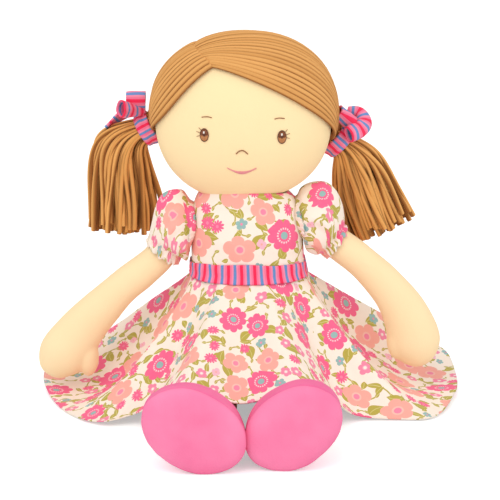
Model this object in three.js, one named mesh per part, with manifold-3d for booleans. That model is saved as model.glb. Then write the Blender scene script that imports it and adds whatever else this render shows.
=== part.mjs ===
// A soft rag doll, sitting: a stuffed jersey body, strand hair in two tied bunches, a printed dress
// with puff sleeves and a striped waistband, and velour shoes.
// Millimetres, +Z up, origin in the body's flat seat.
// The doll faces -Y. Left and right are as seen from the front, so left is at -X.

import * as THREE from "three";
import { mergeVertices } from "three/addons/utils/BufferGeometryUtils.js";
import Module from "manifold-3d";

const wasm = await Module();
wasm.setup();

// Clearances and cloth
const seamGap = 0.3;
const cutOverrun = 5;
const clothThickness = 1.2;
const dressEase = 0.7;
const restFlat = 0.5;

// Head: a wide stuffed oval, flat from front to back
const headHalfWidth = 65;
const headHalfDepth = 42;
const headHalfHeight = 60;
const headPower = 2.2;
const headSink = 5.5;
const headShift = -5;
const nodRise = 35;
const nodBackDegrees = 5;
const nodForwardDegrees = 15;
const headSides = 30;
const headRows = 13;

// Body: pear shaped, with a flat seat
const torsoHeight = 158;
const torsoHalfWidth = 46;
const torsoHalfDepth = 34;
const torsoPower = 2.3;
// The head sinks on the body's top, and nods about a line above its own underside
const headBottom = torsoHeight - headSink;
const nodHeight = headBottom + nodRise;
const torsoSides = 28;
// Each row: height, half width, half depth and sideways lean
const torsoShares = [
  [0, 0.78, 0.7, 0],
  [0.025, 0.91, 0.86, 0],
  [0.12, 1, 1, 0],
  [0.28, 1, 1, 0.01],
  [0.47, 0.925, 0.92, 0.005],
  [0.62, 0.895, 0.875, -0.025],
  [0.715, 0.885, 0.865, -0.04],
  [0.79, 0.88, 0.865, -0.045],
  [0.885, 0.86, 0.8, -0.06],
  [0.94, 0.82, 0.72, -0.065],
  [0.975, 0.74, 0.6, -0.07],
  [1, 0.58, 0.48, -0.07],
];

// Arms: a tube that swells into a mitten hand with a sewn thumb
const armLength = 150;
const handRadius = 19.5;
const handThicknessShare = 0.76;
const armSides = 16;
const armRows = 18;
const thumbRadius = 8.8;
const thumbSides = 10;
const thumbRows = 7;
const armRoundShare = 0.14;
const thumbRoundShare = 0.6;
const shoulderHeightLeft = 134;
const shoulderHeightRight = 138;
// Widths along the arm from the shoulder, as shares of the hand's
const armWidthShares = [0.68, 0.58, 0.62, 0.65, 0.72, 0.88, 1, 0.97];
// The arm's middle line from the shoulder, as shares of its length: across, back and up
const armLineLeftShares = [
  [0, 0, 0],
  [-0.045, 0, 0],
  [-0.11, -0.006, -0.095],
  [-0.16, -0.011, -0.178],
  [-0.229, -0.016, -0.238],
  [-0.317, -0.023, -0.309],
  [-0.398, -0.031, -0.385],
  [-0.495, -0.04, -0.485],
  [-0.575, -0.047, -0.577],
  [-0.634, -0.053, -0.662],
  [-0.671, -0.053, -0.733],
  [-0.688, -0.053, -0.789],
];
const armLineRightShares = [
  [0, 0, 0],
  [0.045, 0, 0],
  [0.102, -0.006, -0.078],
  [0.168, -0.012, -0.136],
  [0.272, -0.02, -0.214],
  [0.375, -0.03, -0.308],
  [0.448, -0.038, -0.394],
  [0.5, -0.044, -0.476],
  [0.537, -0.05, -0.563],
  [0.563, -0.053, -0.659],
  [0.583, -0.053, -0.754],
];
// The thumb's middle line from the wrist, as shares of the arm's length
const thumbLineLeftShares = [
  [-0.535, -0.053, -0.57],
  [-0.52, -0.06, -0.66],
  [-0.512, -0.065, -0.725],
  [-0.515, -0.065, -0.782],
];
const thumbLineRightShares = [
  [0.48, -0.053, -0.52],
  [0.472, -0.06, -0.61],
  [0.468, -0.065, -0.67],
  [0.475, -0.065, -0.72],
];

// Legs: straight stuffed tubes, which turn on a round root in the body's notches
const hipSpread = 28;
const hipDepth = 32;
const legRadius = 20.5;
const ankleRadius = 17.6;
const legSides = 20;
const legRows = 8;
const ankleDepthLeft = 129;
const ankleDepthRight = 123;
const ankleInLeft = 0;
const ankleInRight = 6.5;
const ankleRise = 0.5;

// Shoes: a stuffed velour upper, and an oval padded sole that faces forward
const shoeHalfLength = 35.6;
const shoeHalfWidth = 27.2;
const shoeDepth = 42;
const shoeTurnDegrees = 36.5;
const shoeOpeningRadius = 18.4;
const shoeFullShare = 0.74;
const shoeSwellPower = 1.2;
const shoeSides = 28;
const shoeRows = 7;
const soleThickness = 6.5;
const soleRows = 4;
const soleSeamInset = 1.1;
const soleRoundPower = 0.5;
const footCentreLeft = -38.3;
const footCentreRight = 31.1;

// Dress
const waistHeight = 96.5;
const bodiceSides = 28;
const necklineHalfWidth = 34.5;
const necklineHalfDepth = 24.6;
const necklineDrop = 1.5;
const shoulderSeamRise = 10;
const shoulderSeamHeight = Math.max(shoulderHeightLeft, shoulderHeightRight) + shoulderSeamRise;
const bodiceRows = 5;
const armholeRadius = 16.4;
const armholeSides = 24;
const sleeveRimRadius = 17.6;
const sleevePuffRadius = 22;
const sleeveFrillRadius = 17;
const sleevePuffRise = 3;
const sleeveLength = 35;
const sleeveSides = 24;
const sleevePucker = 0.8;
const sleeveBendShare = 0.8;
const gatherShare = 0.8;
// Down to the gather: the place along the sleeve, its fullness from plain tube to puff, and its rise
const puffShares = [
  [0, 0, 0],
  [0.07, 0.6, 0.3],
  [0.22, 1, 0.8],
  [0.42, 1, 1],
  [0.58, 0.86, 0.8],
  [0.7, 0.45, 0.3],
  [0.8, 0, 0],
];
// Below the gather: the place along the sleeve and its width between the gather and the frill
const frillShares = [
  [0.88, 0.6],
  [1, 1],
];
const rimClearance = 0.8;
const elasticThickness = 1;
const elasticWidth = 2.4;
const waistbandHeight = 12;
const skirtThickness = 1.6;
const skirtReach = 160;
const skirtFoldCount = 8;
const skirtFoldHeight = 3;
const skirtColumns = 48;
const skirtRows = 8;
const hemClearance = 0.4;
const lapHeight = 43.2;
// The hem, anticlockwise from the right: across and back as shares of the skirt's reach, and its height as
// a share of the lap's. The last value is the power of the slope above it: 1 is straight, more is hollow.
const hemShares = [
  [1, 0.16, 0.12, 2.2],
  [0.95, 0.46, 0.3, 1.1],
  [0.68, 0.7, 0.06, 1.3],
  [0.33, 0.78, 0.1, 1.5],
  [0, 0.74, 0.18, 1.5],
  [-0.33, 0.78, 0.08, 1.5],
  [-0.68, 0.68, 0.06, 1.3],
  [-0.94, 0.45, 0.12, 1.15],
  [-1, 0.16, 0.14, 2.4],
  [-0.93, -0.13, 0.02, 2.9],
  [-0.8, -0.37, 0, 1.6],
  [-0.66, -0.5, 0, 1.5],
  [-0.51, -0.5, 0.08, 1.4],
  [-0.4, -0.63, 0.62, 1.3],
  [-0.29, -0.755, 1, 1.2],
  [-0.04, -0.79, 0.84, 1.2],
  [0.22, -0.755, 1, 1.2],
  [0.36, -0.6, 0.62, 1.3],
  [0.48, -0.42, 0.1, 1.4],
  [0.64, -0.4, 0, 1.5],
  [0.83, -0.39, 0.01, 1.5],
  [0.96, -0.13, 0.1, 2.6],
];

// Hair: rows of soft strands, sewn down along the parting and gathered into two ties
const hairGap = 0.6;
const hairThickness = 4.6;
const hairRidge = 1.6;
const hairRidges = 12;
const hairRowsLeft = 9;
const hairRowsRight = 12;
const ridgeSteps = 2;
const partingGap = 0.5;
const tieRadius = 11;
const tieCoreRadius = 4;
const tieDepth = 20;
const tieOverlap = 1;
const tieLeftAcross = 72.1;
const tieRightAcross = 71;
const tieLeftBelow = 10.8;
const tieRightBelow = 20.3;
const tieLeftTiltDegrees = 29;
const tieRightTiltDegrees = 42;
const bandWidth = 11;
const bandThickness = 2;
const bandSides = 22;
const hairFirstDegrees = -15;
const hairLastDegrees = 250;
const hairLiftPowerLeft = 3.5;
const hairLiftPowerRight = 2;
const hairlineSag = 0.36;
const hairlineSagShare = 0.3;
// The parting on the head's oval: across, back and up as shares of the head's half sizes
const partingShares = [
  [-0.342, -0.705, 0.715],
  [-0.485, -0.38, 0.83],
  [-0.52, 0, 0.86],
  [-0.42, 0.5, 0.76],
  [-0.22, 0.86, 0.38],
  [-0.06, 0.95, -0.2],
  [0, 0.66, -0.75],
];

// Bunches of free strands below the ties
const bunchSides = 30;
const bunchRows = 8;
const bunchRidge = 1.3;
const bunchRootRadius = 10.6;
const bunchHalfWidth = 26;
const bunchHalfDepth = 13;
const bunchDrop = 75;
const bunchSpread = 1.5;
const strandEndStep = 4;
// The bunch's middle line from its tie: outward and back as shares of its half width, down as a share of
// its drop
const bunchLineLeftShares = [
  [0, 0, 0],
  [0.3, 0.06, 0.1],
  [0.49, 0.2, 0.28],
  [0.55, 0.4, 0.48],
  [0.58, 0.55, 0.73],
  [0.56, 0.6, 1],
];
const bunchLineRightShares = [
  [0, 0, 0],
  [0.24, 0.06, 0.11],
  [0.49, 0.2, 0.28],
  [0.72, 0.4, 0.48],
  [0.95, 0.55, 0.68],
  [1.1, 0.6, 0.86],
];
const bunchWidthShares = [0.42, 0.76, 0.9, 0.98, 1, 1];

// Bows of the same striped cloth
const bowRibbonWidth = 15;
const bowThickness = 1.2;
const bowSides = 12;
const bowKnotRadius = 3.8;
const bowLoopRise = 3;
const bowGap = 0.6;
const bowLoopLength = 18;
// The loops of each bow: place along the tie, place round it, the way it points, its turn, length and height
const bowLoopLeftShares = [
  [-0.1, 90, 119, 90, 0.7, 0.6],
  [0.1, 80, 34, 75, 1, 0.6],
];
const bowLoopRightShares = [
  [-0.1, 90, 132, 50, 0.75, 0.6],
  [0.1, 75, 38, 80, 0.9, 0.7],
];

// Embroidery
const threadHeight = 0.5;
const threadWidth = 1;
const eyeHalfWidth = 3;
const eyeHalfHeight = 4.7;
const eyeAcross = 27.8;
const eyeBelow = 5.5;
const browAcross = 26;
const browAbove = 7.5;
const browLength = 7;
const browArch = 0.4;
const lashLength = 2.6;
const lashCount = 3;
const lashWidth = 0.6;
const lashSteps = 2;
const lashFanDegrees = 76;
const lashFanShare = 0.35;
const eyeCrownShare = 0.6;
const noseHalfWidth = 4;
const noseBelow = 18.3;
const noseArch = 2.6;
const noseAcross = -0.8;
const mouthHalfWidth = 10;
const mouthBelow = 29.5;
const mouthSag = 3.6;
const mouthAcross = -0.9;
const mouthEndWidth = 0.8;
const mouthMiddleWidth = 2;
const threadSteps = 8;
const eyeSides = 16;

// Colours
const skinColour = "#ffe3b2";
const hairColour = "#c48f4e";
const dressColour = "#fbe3d8";
const stripeColour = "#e0487e";
const shoeColour = "#ff74ad";
const soleColour = "#ff80b4";
const eyeColour = "#7a4226";
const threadColour = "#9a5a34";
const mouthColour = "#f09ca6";
const elasticColour = "#f4f0ea";
const clothRoughness = 0.9;
const threadRoughness = 0.7;

const turn = 2 * Math.PI;
const radians = Math.PI / 180;

// A triangle skin as a geometry, turned round if its faces point in.
function closedSkin(points, faces) {
  const across = new THREE.Vector3();
  let volume = 0;
  for (const [a, b, c] of faces) {
    volume += points[a].dot(across.crossVectors(points[b], points[c]));
  }
  const facingOut = volume < 0 ? faces.map(([a, b, c]) => [a, c, b]) : faces;
  const geometry = new THREE.BufferGeometry().setFromPoints(points);
  geometry.setIndex(facingOut.flat());
  return geometry;
}

// Rings of equal counts joined in order, and closed at each end by a point.
function loft(rings, firstTip, lastTip) {
  const count = rings[0].length;
  const points = [...rings.flat(), firstTip, lastTip];
  const first = points.length - 2;
  const last = points.length - 1;
  const lastRing = (rings.length - 1) * count;
  const faces = [];
  for (let j = 0; j < count; j += 1) {
    const k = (j + 1) % count;
    for (let i = 0; i < lastRing; i += count) {
      faces.push([i + j, i + k, i + count + k], [i + j, i + count + k, i + count + j]);
    }
    faces.push([first, k, j], [last, lastRing + j, lastRing + k]);
  }
  return closedSkin(points, faces);
}

// The wall between two grids of points. A round wall joins its last column to its first.
function wall(outer, inner, round) {
  const rows = outer.length;
  const columns = outer[0].length;
  const points = [...outer.flat(), ...inner.flat()];
  const faces = [];
  const at = (side, row, column) => (side * rows + row) * columns + (column % columns);
  const quad = (a, b, c, d) => faces.push([a, b, c], [a, c, d]);
  const top = rows - 1;
  const steps = round ? columns : columns - 1;
  for (let c = 0; c < steps; c += 1) {
    for (let r = 0; r < top; r += 1) {
      quad(at(0, r, c), at(0, r, c + 1), at(0, r + 1, c + 1), at(0, r + 1, c));
      quad(at(1, r, c), at(1, r + 1, c), at(1, r + 1, c + 1), at(1, r, c + 1));
    }
    quad(at(0, 0, c + 1), at(0, 0, c), at(1, 0, c), at(1, 0, c + 1));
    quad(at(0, top, c), at(0, top, c + 1), at(1, top, c + 1), at(1, top, c));
  }
  if (!round) {
    for (let r = 0; r < top; r += 1) {
      quad(at(0, r, 0), at(0, r + 1, 0), at(1, r + 1, 0), at(1, r, 0));
      quad(at(0, r + 1, steps), at(0, r, steps), at(1, r, steps), at(1, r + 1, steps));
    }
  }
  return closedSkin(points, faces);
}

// Booleans
function solidOf(geometry) {
  const bare = new THREE.BufferGeometry();
  bare.setAttribute("position", geometry.getAttribute("position"));
  bare.setIndex(geometry.index);
  const merged = mergeVertices(bare);
  const mesh = new wasm.Mesh({
    numProp: 3,
    vertProperties: merged.attributes.position.array,
    triVerts: new Uint32Array(merged.index.array),
  });
  return new wasm.Manifold(mesh);
}

function geometryOf(solid) {
  const mesh = solid.getMesh();
  const geometry = new THREE.BufferGeometry();
  geometry.setAttribute("position", new THREE.BufferAttribute(mesh.vertProperties, 3));
  geometry.setIndex(new THREE.BufferAttribute(mesh.triVerts, 1));
  return geometry;
}

function cut(geometry, ...tools) {
  let solid = solidOf(geometry);
  for (const tool of tools) {
    solid = solid.subtract(solidOf(tool));
  }
  return geometryOf(solid);
}

function join(...geometries) {
  let solid = solidOf(geometries[0]);
  for (const geometry of geometries.slice(1)) {
    solid = solid.add(solidOf(geometry));
  }
  return geometryOf(solid);
}

// Shape helpers
const mix = THREE.MathUtils.lerp;
const smooth = (value) => THREE.MathUtils.smoothstep(value, 0, 1);

function ovalPoint(angle, halfWidth, halfDepth, power) {
  const across = Math.cos(angle);
  const along = Math.sin(angle);
  const reach = (Math.abs(across) ** power + Math.abs(along) ** power) ** (-1 / power);
  return [halfWidth * across * reach, halfDepth * along * reach];
}

// The value at a share of the way along a list, with straight runs between its entries.
function along(list, share) {
  const place = THREE.MathUtils.clamp(share, 0, 1) * (list.length - 1);
  const index = Math.min(Math.floor(place), list.length - 2);
  return mix(list[index], list[index + 1], place - index);
}

// A ring round a line that bends in the plane of X and Z.
function bentRing(centre, direction, halfWidth, halfDepth, sides, ripple = () => 0) {
  const flat = new THREE.Vector3(direction.x, 0, direction.z).normalize();
  const up = new THREE.Vector3(-flat.z, 0, flat.x);
  const ring = [];
  for (let j = 0; j < sides; j += 1) {
    const angle = (turn * j) / sides;
    const grow = 1 + ripple(angle, j) / halfWidth;
    const point = centre.clone().addScaledVector(up, halfWidth * grow * Math.cos(angle));
    point.y += halfDepth * grow * Math.sin(angle);
    ring.push(point);
  }
  return ring;
}

function middle(ring) {
  const sum = new THREE.Vector3();
  ring.forEach((point) => sum.add(point));
  return sum.divideScalar(ring.length);
}

function lineOf(shares, scale) {
  const points = shares.map(([x, y, z]) => new THREE.Vector3(x, y, z).multiply(scale));
  return new THREE.CatmullRomCurve3(points);
}

const doll = new THREE.Group();

function makeMaterial(color, roughness) {
  return new THREE.MeshStandardMaterial({ color, roughness, metalness: 0 });
}

function addPiece(parent, name, geometry, color, roughness = clothRoughness) {
  geometry.computeVertexNormals();
  const mesh = new THREE.Mesh(geometry, makeMaterial(color, roughness));
  mesh.name = name;
  parent.add(mesh);
}

function addGroup(parent, x, y, z) {
  const group = new THREE.Group();
  group.position.set(x, y, z);
  parent.add(group);
  return group;
}

// The head's skin, from a direction on its oval. The offset is measured out of the skin.
const headCentre = new THREE.Vector3(headShift, 0, headBottom + headHalfHeight);

function headPoint(direction, offset, lift = 0) {
  const size = [headHalfWidth, headHalfDepth, headHalfHeight];
  const parts = direction.toArray();
  const sum = parts.reduce((total, part) => total + Math.abs(part) ** headPower, 0);
  const reach = sum ** (-1 / headPower);
  const place = parts.map((part, i) => part * reach * size[i]);
  const steep = parts.map((part) => Math.sign(part) * Math.abs(part * reach) ** (headPower - 1));
  const slope = steep.map((part, i) => part / size[i]);
  const point = new THREE.Vector3(...place).multiplyScalar(1 + lift);
  return point.addScaledVector(new THREE.Vector3(...slope).normalize(), offset);
}

// A point in front of the face, at a place across and up from the head's middle.
function facePoint(across, up, offset) {
  const x = across / headHalfWidth;
  const z = up / headHalfHeight;
  const forward = (1 - Math.abs(x) ** headPower - Math.abs(z) ** headPower) ** (1 / headPower);
  return headPoint(new THREE.Vector3(x, -forward, z), offset);
}

// The height of the head's underside above a place on the shoulders.
function headUnderside(x, y) {
  const across = Math.abs((x - headShift) / headHalfWidth) ** headPower;
  const back = Math.abs(y / headHalfDepth) ** headPower;
  return headCentre.z - headHalfHeight * (1 - across - back) ** (1 / headPower);
}

function headSkin(offset) {
  const rings = [];
  for (let i = 1; i < headRows; i += 1) {
    const slope = (Math.PI * i) / headRows - Math.PI / 2;
    const ring = [];
    for (let j = 0; j < headSides; j += 1) {
      const angle = (turn * j) / headSides;
      const level = Math.cos(slope);
      const x = level * Math.cos(angle);
      const y = level * Math.sin(angle);
      const direction = new THREE.Vector3(x, y, Math.sin(slope));
      ring.push(headPoint(direction, offset));
    }
    rings.push(ring);
  }
  const down = new THREE.Vector3(0, 0, -1);
  return loft(rings, headPoint(down, offset), headPoint(down.negate(), offset));
}

// The body's size at a height: half width, half depth and lean.
function torsoAt(height) {
  const share = THREE.MathUtils.clamp(height / torsoHeight, 0, 1);
  const above = Math.max(1, torsoShares.findIndex((row) => row[0] >= share));
  const [low, high] = [torsoShares[above - 1], torsoShares[above]];
  const part = (share - low[0]) / (high[0] - low[0]);
  const width = mix(low[1], high[1], part) * torsoHalfWidth;
  const depth = mix(low[2], high[2], part) * torsoHalfDepth;
  const lean = mix(low[3], high[3], part) * torsoHalfWidth;
  return { width, depth, lean };
}

function levelRing(sides, size, grow, height) {
  const ring = [];
  for (let j = 0; j < sides; j += 1) {
    const angle = (turn * j) / sides;
    const [x, y] = ovalPoint(angle, size.width + grow, size.depth + grow, torsoPower);
    const z = typeof height === "function" ? height(x + size.lean, y) : height;
    ring.push(new THREE.Vector3(x + size.lean, y, z));
  }
  return ring;
}

// The body's furthest reach to one side between two heights, where an arm's flat root meets it.
function sideReach(side, low, high) {
  const samples = 12;
  let reach = 0;
  for (let i = 0; i <= samples; i += 1) {
    const size = torsoAt(mix(low, high, i / samples));
    reach = Math.max(reach, size.width + side * size.lean);
  }
  return reach;
}

function shoulderPlace(side, height) {
  const reach = sideReach(side, height - armholeRadius, height + armholeRadius);
  const x = side * (reach + dressEase + clothThickness + rimClearance);
  return new THREE.Vector3(x, 0, height);
}

const sides = [
  {
    name: "left",
    side: -1,
    shoulder: shoulderPlace(-1, shoulderHeightLeft),
    armShares: armLineLeftShares,
    thumbShares: thumbLineLeftShares,
    footCentre: footCentreLeft,
    ankleIn: ankleInLeft,
    ankleDepth: ankleDepthLeft,
    tieAcross: tieLeftAcross,
    tieBelow: tieLeftBelow,
    tieTilt: tieLeftTiltDegrees,
    hairRows: hairRowsLeft,
    hairLiftPower: hairLiftPowerLeft,
    bunchShares: bunchLineLeftShares,
    bowLoops: bowLoopLeftShares,
  },
  {
    name: "right",
    side: 1,
    shoulder: shoulderPlace(1, shoulderHeightRight),
    armShares: armLineRightShares,
    thumbShares: thumbLineRightShares,
    footCentre: footCentreRight,
    ankleIn: ankleInRight,
    ankleDepth: ankleDepthRight,
    tieAcross: tieRightAcross,
    tieBelow: tieRightBelow,
    tieTilt: tieRightTiltDegrees,
    hairRows: hairRowsRight,
    hairLiftPower: hairLiftPowerRight,
    bunchShares: bunchLineRightShares,
    bowLoops: bowLoopRightShares,
  },
];

// Body
const hipHeight = legRadius + restFlat;

// The space that one leg sweeps as it turns from lying forward to hanging down.
function legSweep(hipAcross) {
  const radius = legRadius + seamGap;
  const reach = hipDepth + cutOverrun;
  const outline = new THREE.Shape();
  outline.moveTo(-reach, radius);
  outline.lineTo(0, radius);
  outline.absarc(0, 0, radius, Math.PI / 2, 0, true);
  outline.lineTo(radius, -hipHeight - cutOverrun);
  outline.lineTo(-reach, -hipHeight - cutOverrun);
  const settings = { depth: 2 * radius, bevelEnabled: false, curveSegments: 10 };
  const slab = new THREE.ExtrudeGeometry(outline, settings);
  const frame = new THREE.Matrix4().makeBasis(
    new THREE.Vector3(0, 1, 0),
    new THREE.Vector3(0, 0, 1),
    new THREE.Vector3(1, 0, 0),
  );
  slab.applyMatrix4(frame);
  return slab.translate(hipAcross - radius, -hipDepth, hipHeight);
}

// The head's skin at each step of its nod, so that the hollow on the shoulders clears all of them
function headSweep() {
  const steps = 4;
  const heads = [];
  for (let i = 0; i <= steps; i += 1) {
    const degrees = mix(-nodBackDegrees, nodForwardDegrees, i / steps);
    const skin = headSkin(seamGap).translate(...headCentre.toArray()).translate(0, 0, -nodHeight);
    heads.push(skin.rotateX(degrees * radians).translate(0, 0, nodHeight));
  }
  return heads;
}

function torsoShape() {
  const rings = torsoShares.map(([share]) => {
    const height = share * torsoHeight;
    return levelRing(torsoSides, torsoAt(height), 0, height);
  });
  const seat = new THREE.Vector3(0, 0, 0);
  const neck = new THREE.Vector3(torsoAt(torsoHeight).lean, 0, torsoHeight);
  return cut(loft(rings, seat, neck), ...headSweep(), legSweep(-hipSpread), legSweep(hipSpread));
}

addPiece(doll, "torso", torsoShape(), skinColour);

// Arms, with each hand's thumb joined on
function armRadii(share) {
  const width = along(armWidthShares, share) * handRadius;
  return [width, width * mix(1, handThicknessShare, smooth(share))];
}

function stuffedTube(line, rows, count, radii, roundShare) {
  const rings = [];
  for (let i = 0; i < rows; i += 1) {
    const share = i / rows;
    const close = Math.max(0, (share - 1 + roundShare) / roundShare);
    const taper = Math.sqrt(1 - close * close);
    const [width, depth] = radii(share).map((radius) => radius * taper);
    rings.push(bentRing(line.getPointAt(share), line.getTangentAt(share), width, depth, count));
  }
  return loft(rings, line.getPointAt(0), line.getPointAt(1));
}

// The arm's root lies inside the armhole's rim, near the body
const armInset = dressEase + clothThickness + rimClearance - seamGap;
const armScale = new THREE.Vector3(armLength, armLength, armLength);

function armLine(one) {
  const line = lineOf(one.armShares, armScale);
  line.points[0].x -= one.side * armInset;
  return line;
}

function armShape(one) {
  const arm = stuffedTube(armLine(one), armRows, armSides, armRadii, armRoundShare);
  const thumbLine = lineOf(one.thumbShares, armScale);
  const thumbRadii = () => [thumbRadius, thumbRadius];
  const thumb = stuffedTube(thumbLine, thumbRows, thumbSides, thumbRadii, thumbRoundShare);
  return join(arm, thumb);
}

// Puff sleeves: from the armhole's rim, full over the shoulder, gathered on the arm and ending in a frill.
// The elastic cord lies inside the gather, round the arm.
// The share of the arm's line at a share of the sleeve's length
function sleevePlace(line, share) {
  return (armInset + share * sleeveLength) / line.getLength();
}

function elasticRadius(one) {
  const [width] = armRadii(sleevePlace(armLine(one), gatherShare));
  return width + seamGap;
}

function sleeveRings(one, grow) {
  const line = armLine(one);
  const gatherRadius = elasticRadius(one) + elasticThickness + seamGap + sleevePucker + clothThickness;
  const puff = puffShares.map(([share, fullness, rise]) => {
    const plain = mix(sleeveRimRadius, gatherRadius, share / gatherShare);
    return [share, mix(plain, sleevePuffRadius, fullness), rise];
  });
  const frillWidth = (share) => mix(gatherRadius, sleeveFrillRadius, share);
  const frill = frillShares.map(([place, share]) => [place, frillWidth(share), 0]);
  const stations = [...puff, ...frill];
  return stations.map(([share, radius, rise]) => {
    const place = sleevePlace(line, share);
    const sideways = new THREE.Vector3(one.side, 0, 0);
    const tangent = sideways.lerp(line.getTangentAt(place), smooth(share / sleeveBendShare)).normalize();
    const outward = new THREE.Vector3(-one.side * tangent.z, 0, one.side * tangent.x);
    const centre = line.getPointAt(place).addScaledVector(outward, sleevePuffRise * rise);
    const depth = share > 0 ? sleevePucker : 0;
    const ripple = (angle, j) => (j % 2 ? depth : -depth);
    return bentRing(centre, tangent, radius + grow, radius + grow, sleeveSides, ripple);
  });
}

function elasticShape(one) {
  const line = armLine(one);
  const place = sleevePlace(line, gatherShare);
  const centre = line.getPointAt(place);
  const tangent = line.getTangentAt(place);
  const innerRadius = elasticRadius(one);
  const rows = [-0.5, 0.5].map((share) => centre.clone().addScaledVector(tangent, share * elasticWidth));
  const ringsOf = (radius) => rows.map((row) => bentRing(row, tangent, radius, radius, sleeveSides));
  return wall(ringsOf(innerRadius + elasticThickness), ringsOf(innerRadius), true);
}

for (const one of sides) {
  const arm = addGroup(doll, ...one.shoulder.toArray());
  addPiece(arm, `arm_${one.name}`, armShape(one), skinColour);
  const sleeve = wall(sleeveRings(one, 0), sleeveRings(one, -clothThickness), true);
  addPiece(arm, `sleeve_${one.name}`, sleeve, dressColour);
  addPiece(arm, `cuff_elastic_${one.name}`, elasticShape(one), elasticColour);
}

// Legs and shoes, each pair in a group at its hip
const shoeTurn = shoeTurnDegrees * radians;
const shoeRise = Math.hypot(shoeHalfLength * Math.sin(shoeTurn), shoeHalfWidth * Math.cos(shoeTurn));
const shoeLevel = shoeRise - restFlat;

function legPlace(one, depthShare) {
  const x = -one.side * one.ankleIn * depthShare;
  return new THREE.Vector3(x, -(one.ankleDepth - hipDepth) * depthShare, ankleRise * depthShare);
}

function legShape(one) {
  const rings = [];
  const rootRows = 4;
  const facing = (centre, radius) => {
    const ring = [];
    for (let j = 0; j < legSides; j += 1) {
      const angle = (turn * j) / legSides;
      const spoke = new THREE.Vector3(radius * Math.cos(angle), 0, radius * Math.sin(angle));
      ring.push(spoke.add(centre));
    }
    return ring;
  };
  for (let i = 1; i < rootRows; i += 1) {
    const angle = (Math.PI / 2) * (i / rootRows);
    const back = new THREE.Vector3(0, legRadius * Math.cos(angle), 0);
    rings.push(facing(back, legRadius * Math.sin(angle)));
  }
  for (let i = 0; i <= legRows; i += 1) {
    const share = i / legRows;
    rings.push(facing(legPlace(one, share), mix(legRadius, ankleRadius, share)));
  }
  return loft(rings, new THREE.Vector3(0, legRadius, 0), legPlace(one, 1));
}

// An upright oval of the shoe, in the leg's frame. It turns and grows from the ankle's circle to the sole.
function shoeRing(one, depth, growShare, halfLength, halfWidth) {
  const ankle = legPlace(one, 1);
  const foot = new THREE.Vector3(one.footCentre - one.side * hipSpread, 0, shoeLevel - hipHeight);
  const centre = ankle.clone().lerp(foot, growShare);
  const ring = [];
  for (let j = 0; j < shoeSides; j += 1) {
    const angle = (turn * j) / shoeSides;
    const a = mix(shoeOpeningRadius, halfLength, growShare) * Math.cos(angle);
    const b = mix(shoeOpeningRadius, halfWidth, growShare) * Math.sin(angle);
    const x = one.side * (a * Math.cos(shoeTurn) - b * Math.sin(shoeTurn));
    const z = a * Math.sin(shoeTurn) + b * Math.cos(shoeTurn);
    ring.push(new THREE.Vector3(centre.x + x, depth, centre.z + z));
  }
  return ring;
}

// The floor under the doll, which presses the shoes flat
function floorBlock() {
  const side = 4 * skirtReach;
  return new THREE.BoxGeometry(side, side, side).translate(0, 0, -side / 2 - hipHeight);
}

function shoeShapes(one) {
  const back = -(one.ankleDepth - hipDepth) - seamGap;
  const seam = back - shoeDepth;
  const upper = [];
  for (let i = 0; i <= shoeRows; i += 1) {
    const share = i / shoeRows;
    const grow = Math.sin((Math.PI / 2) * Math.min(1, share / shoeFullShare)) ** shoeSwellPower;
    const tuck = share === 1 ? soleSeamInset : 0;
    upper.push(shoeRing(one, mix(back, seam, share), grow, shoeHalfLength - tuck, shoeHalfWidth - tuck));
  }
  const sole = [];
  for (let i = 0; i <= soleRows; i += 1) {
    const angle = (Math.PI / 2) * (i / (soleRows + 1));
    const size = i === 0 ? 1 : Math.cos(angle) ** soleRoundPower;
    const depth = seam - seamGap - soleThickness * Math.sin(angle);
    const inset = i === 0 ? soleSeamInset : 0;
    sole.push(shoeRing(one, depth, 1, (shoeHalfLength - inset) * size, (shoeHalfWidth - inset) * size));
  }
  const upperSkin = loft(upper, middle(upper[0]), middle(upper[shoeRows]));
  const front = middle(sole[0]).setY(seam - seamGap - soleThickness);
  const soleSkin = loft(sole, middle(sole[0]), front);
  return [cut(upperSkin, floorBlock()), cut(soleSkin, floorBlock())];
}

for (const one of sides) {
  const leg = addGroup(doll, one.side * hipSpread, -hipDepth, hipHeight);
  const [upper, sole] = shoeShapes(one);
  addPiece(leg, `leg_${one.name}`, legShape(one), skinColour);
  addPiece(leg, `shoe_upper_${one.name}`, upper, shoeColour);
  addPiece(leg, `shoe_sole_${one.name}`, sole, soleColour);
}

// Bodice: close round the body, with two round armholes and a neckline that follows the head's underside
const neckline = { width: necklineHalfWidth, depth: necklineHalfDepth, lean: headShift };

function bodiceRings(grow) {
  const rings = [];
  for (let i = 0; i <= bodiceRows; i += 1) {
    const height = mix(waistHeight, shoulderSeamHeight, i / bodiceRows);
    rings.push(levelRing(bodiceSides, torsoAt(height), dressEase + grow, height));
  }
  const below = torsoAt(shoulderSeamHeight);
  const half = {
    width: mix(below.width, neckline.width, 0.5) + grow,
    depth: mix(below.depth, neckline.depth, 0.5) + grow,
    lean: mix(below.lean, neckline.lean, 0.5),
  };
  const edge = (x, y) => headUnderside(x, y) - necklineDrop;
  rings.push(levelRing(bodiceSides, half, 0, (x, y) => mix(shoulderSeamHeight, edge(x, y), 0.5)));
  rings.push(levelRing(bodiceSides, neckline, grow - clothThickness, edge));
  return rings;
}

function armholeCutter(one) {
  const wallReach = sideReach(one.side, one.shoulder.z, one.shoulder.z);
  const reach = 2 * (one.side * one.shoulder.x - wallReach + cutOverrun);
  const bore = new THREE.CylinderGeometry(armholeRadius, armholeRadius, reach, armholeSides);
  return bore.rotateZ(Math.PI / 2).translate(...one.shoulder.toArray());
}

const bodice = wall(bodiceRings(clothThickness), bodiceRings(0), true);
addPiece(doll, "bodice", cut(bodice, ...sides.map(armholeCutter)), dressColour);

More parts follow.
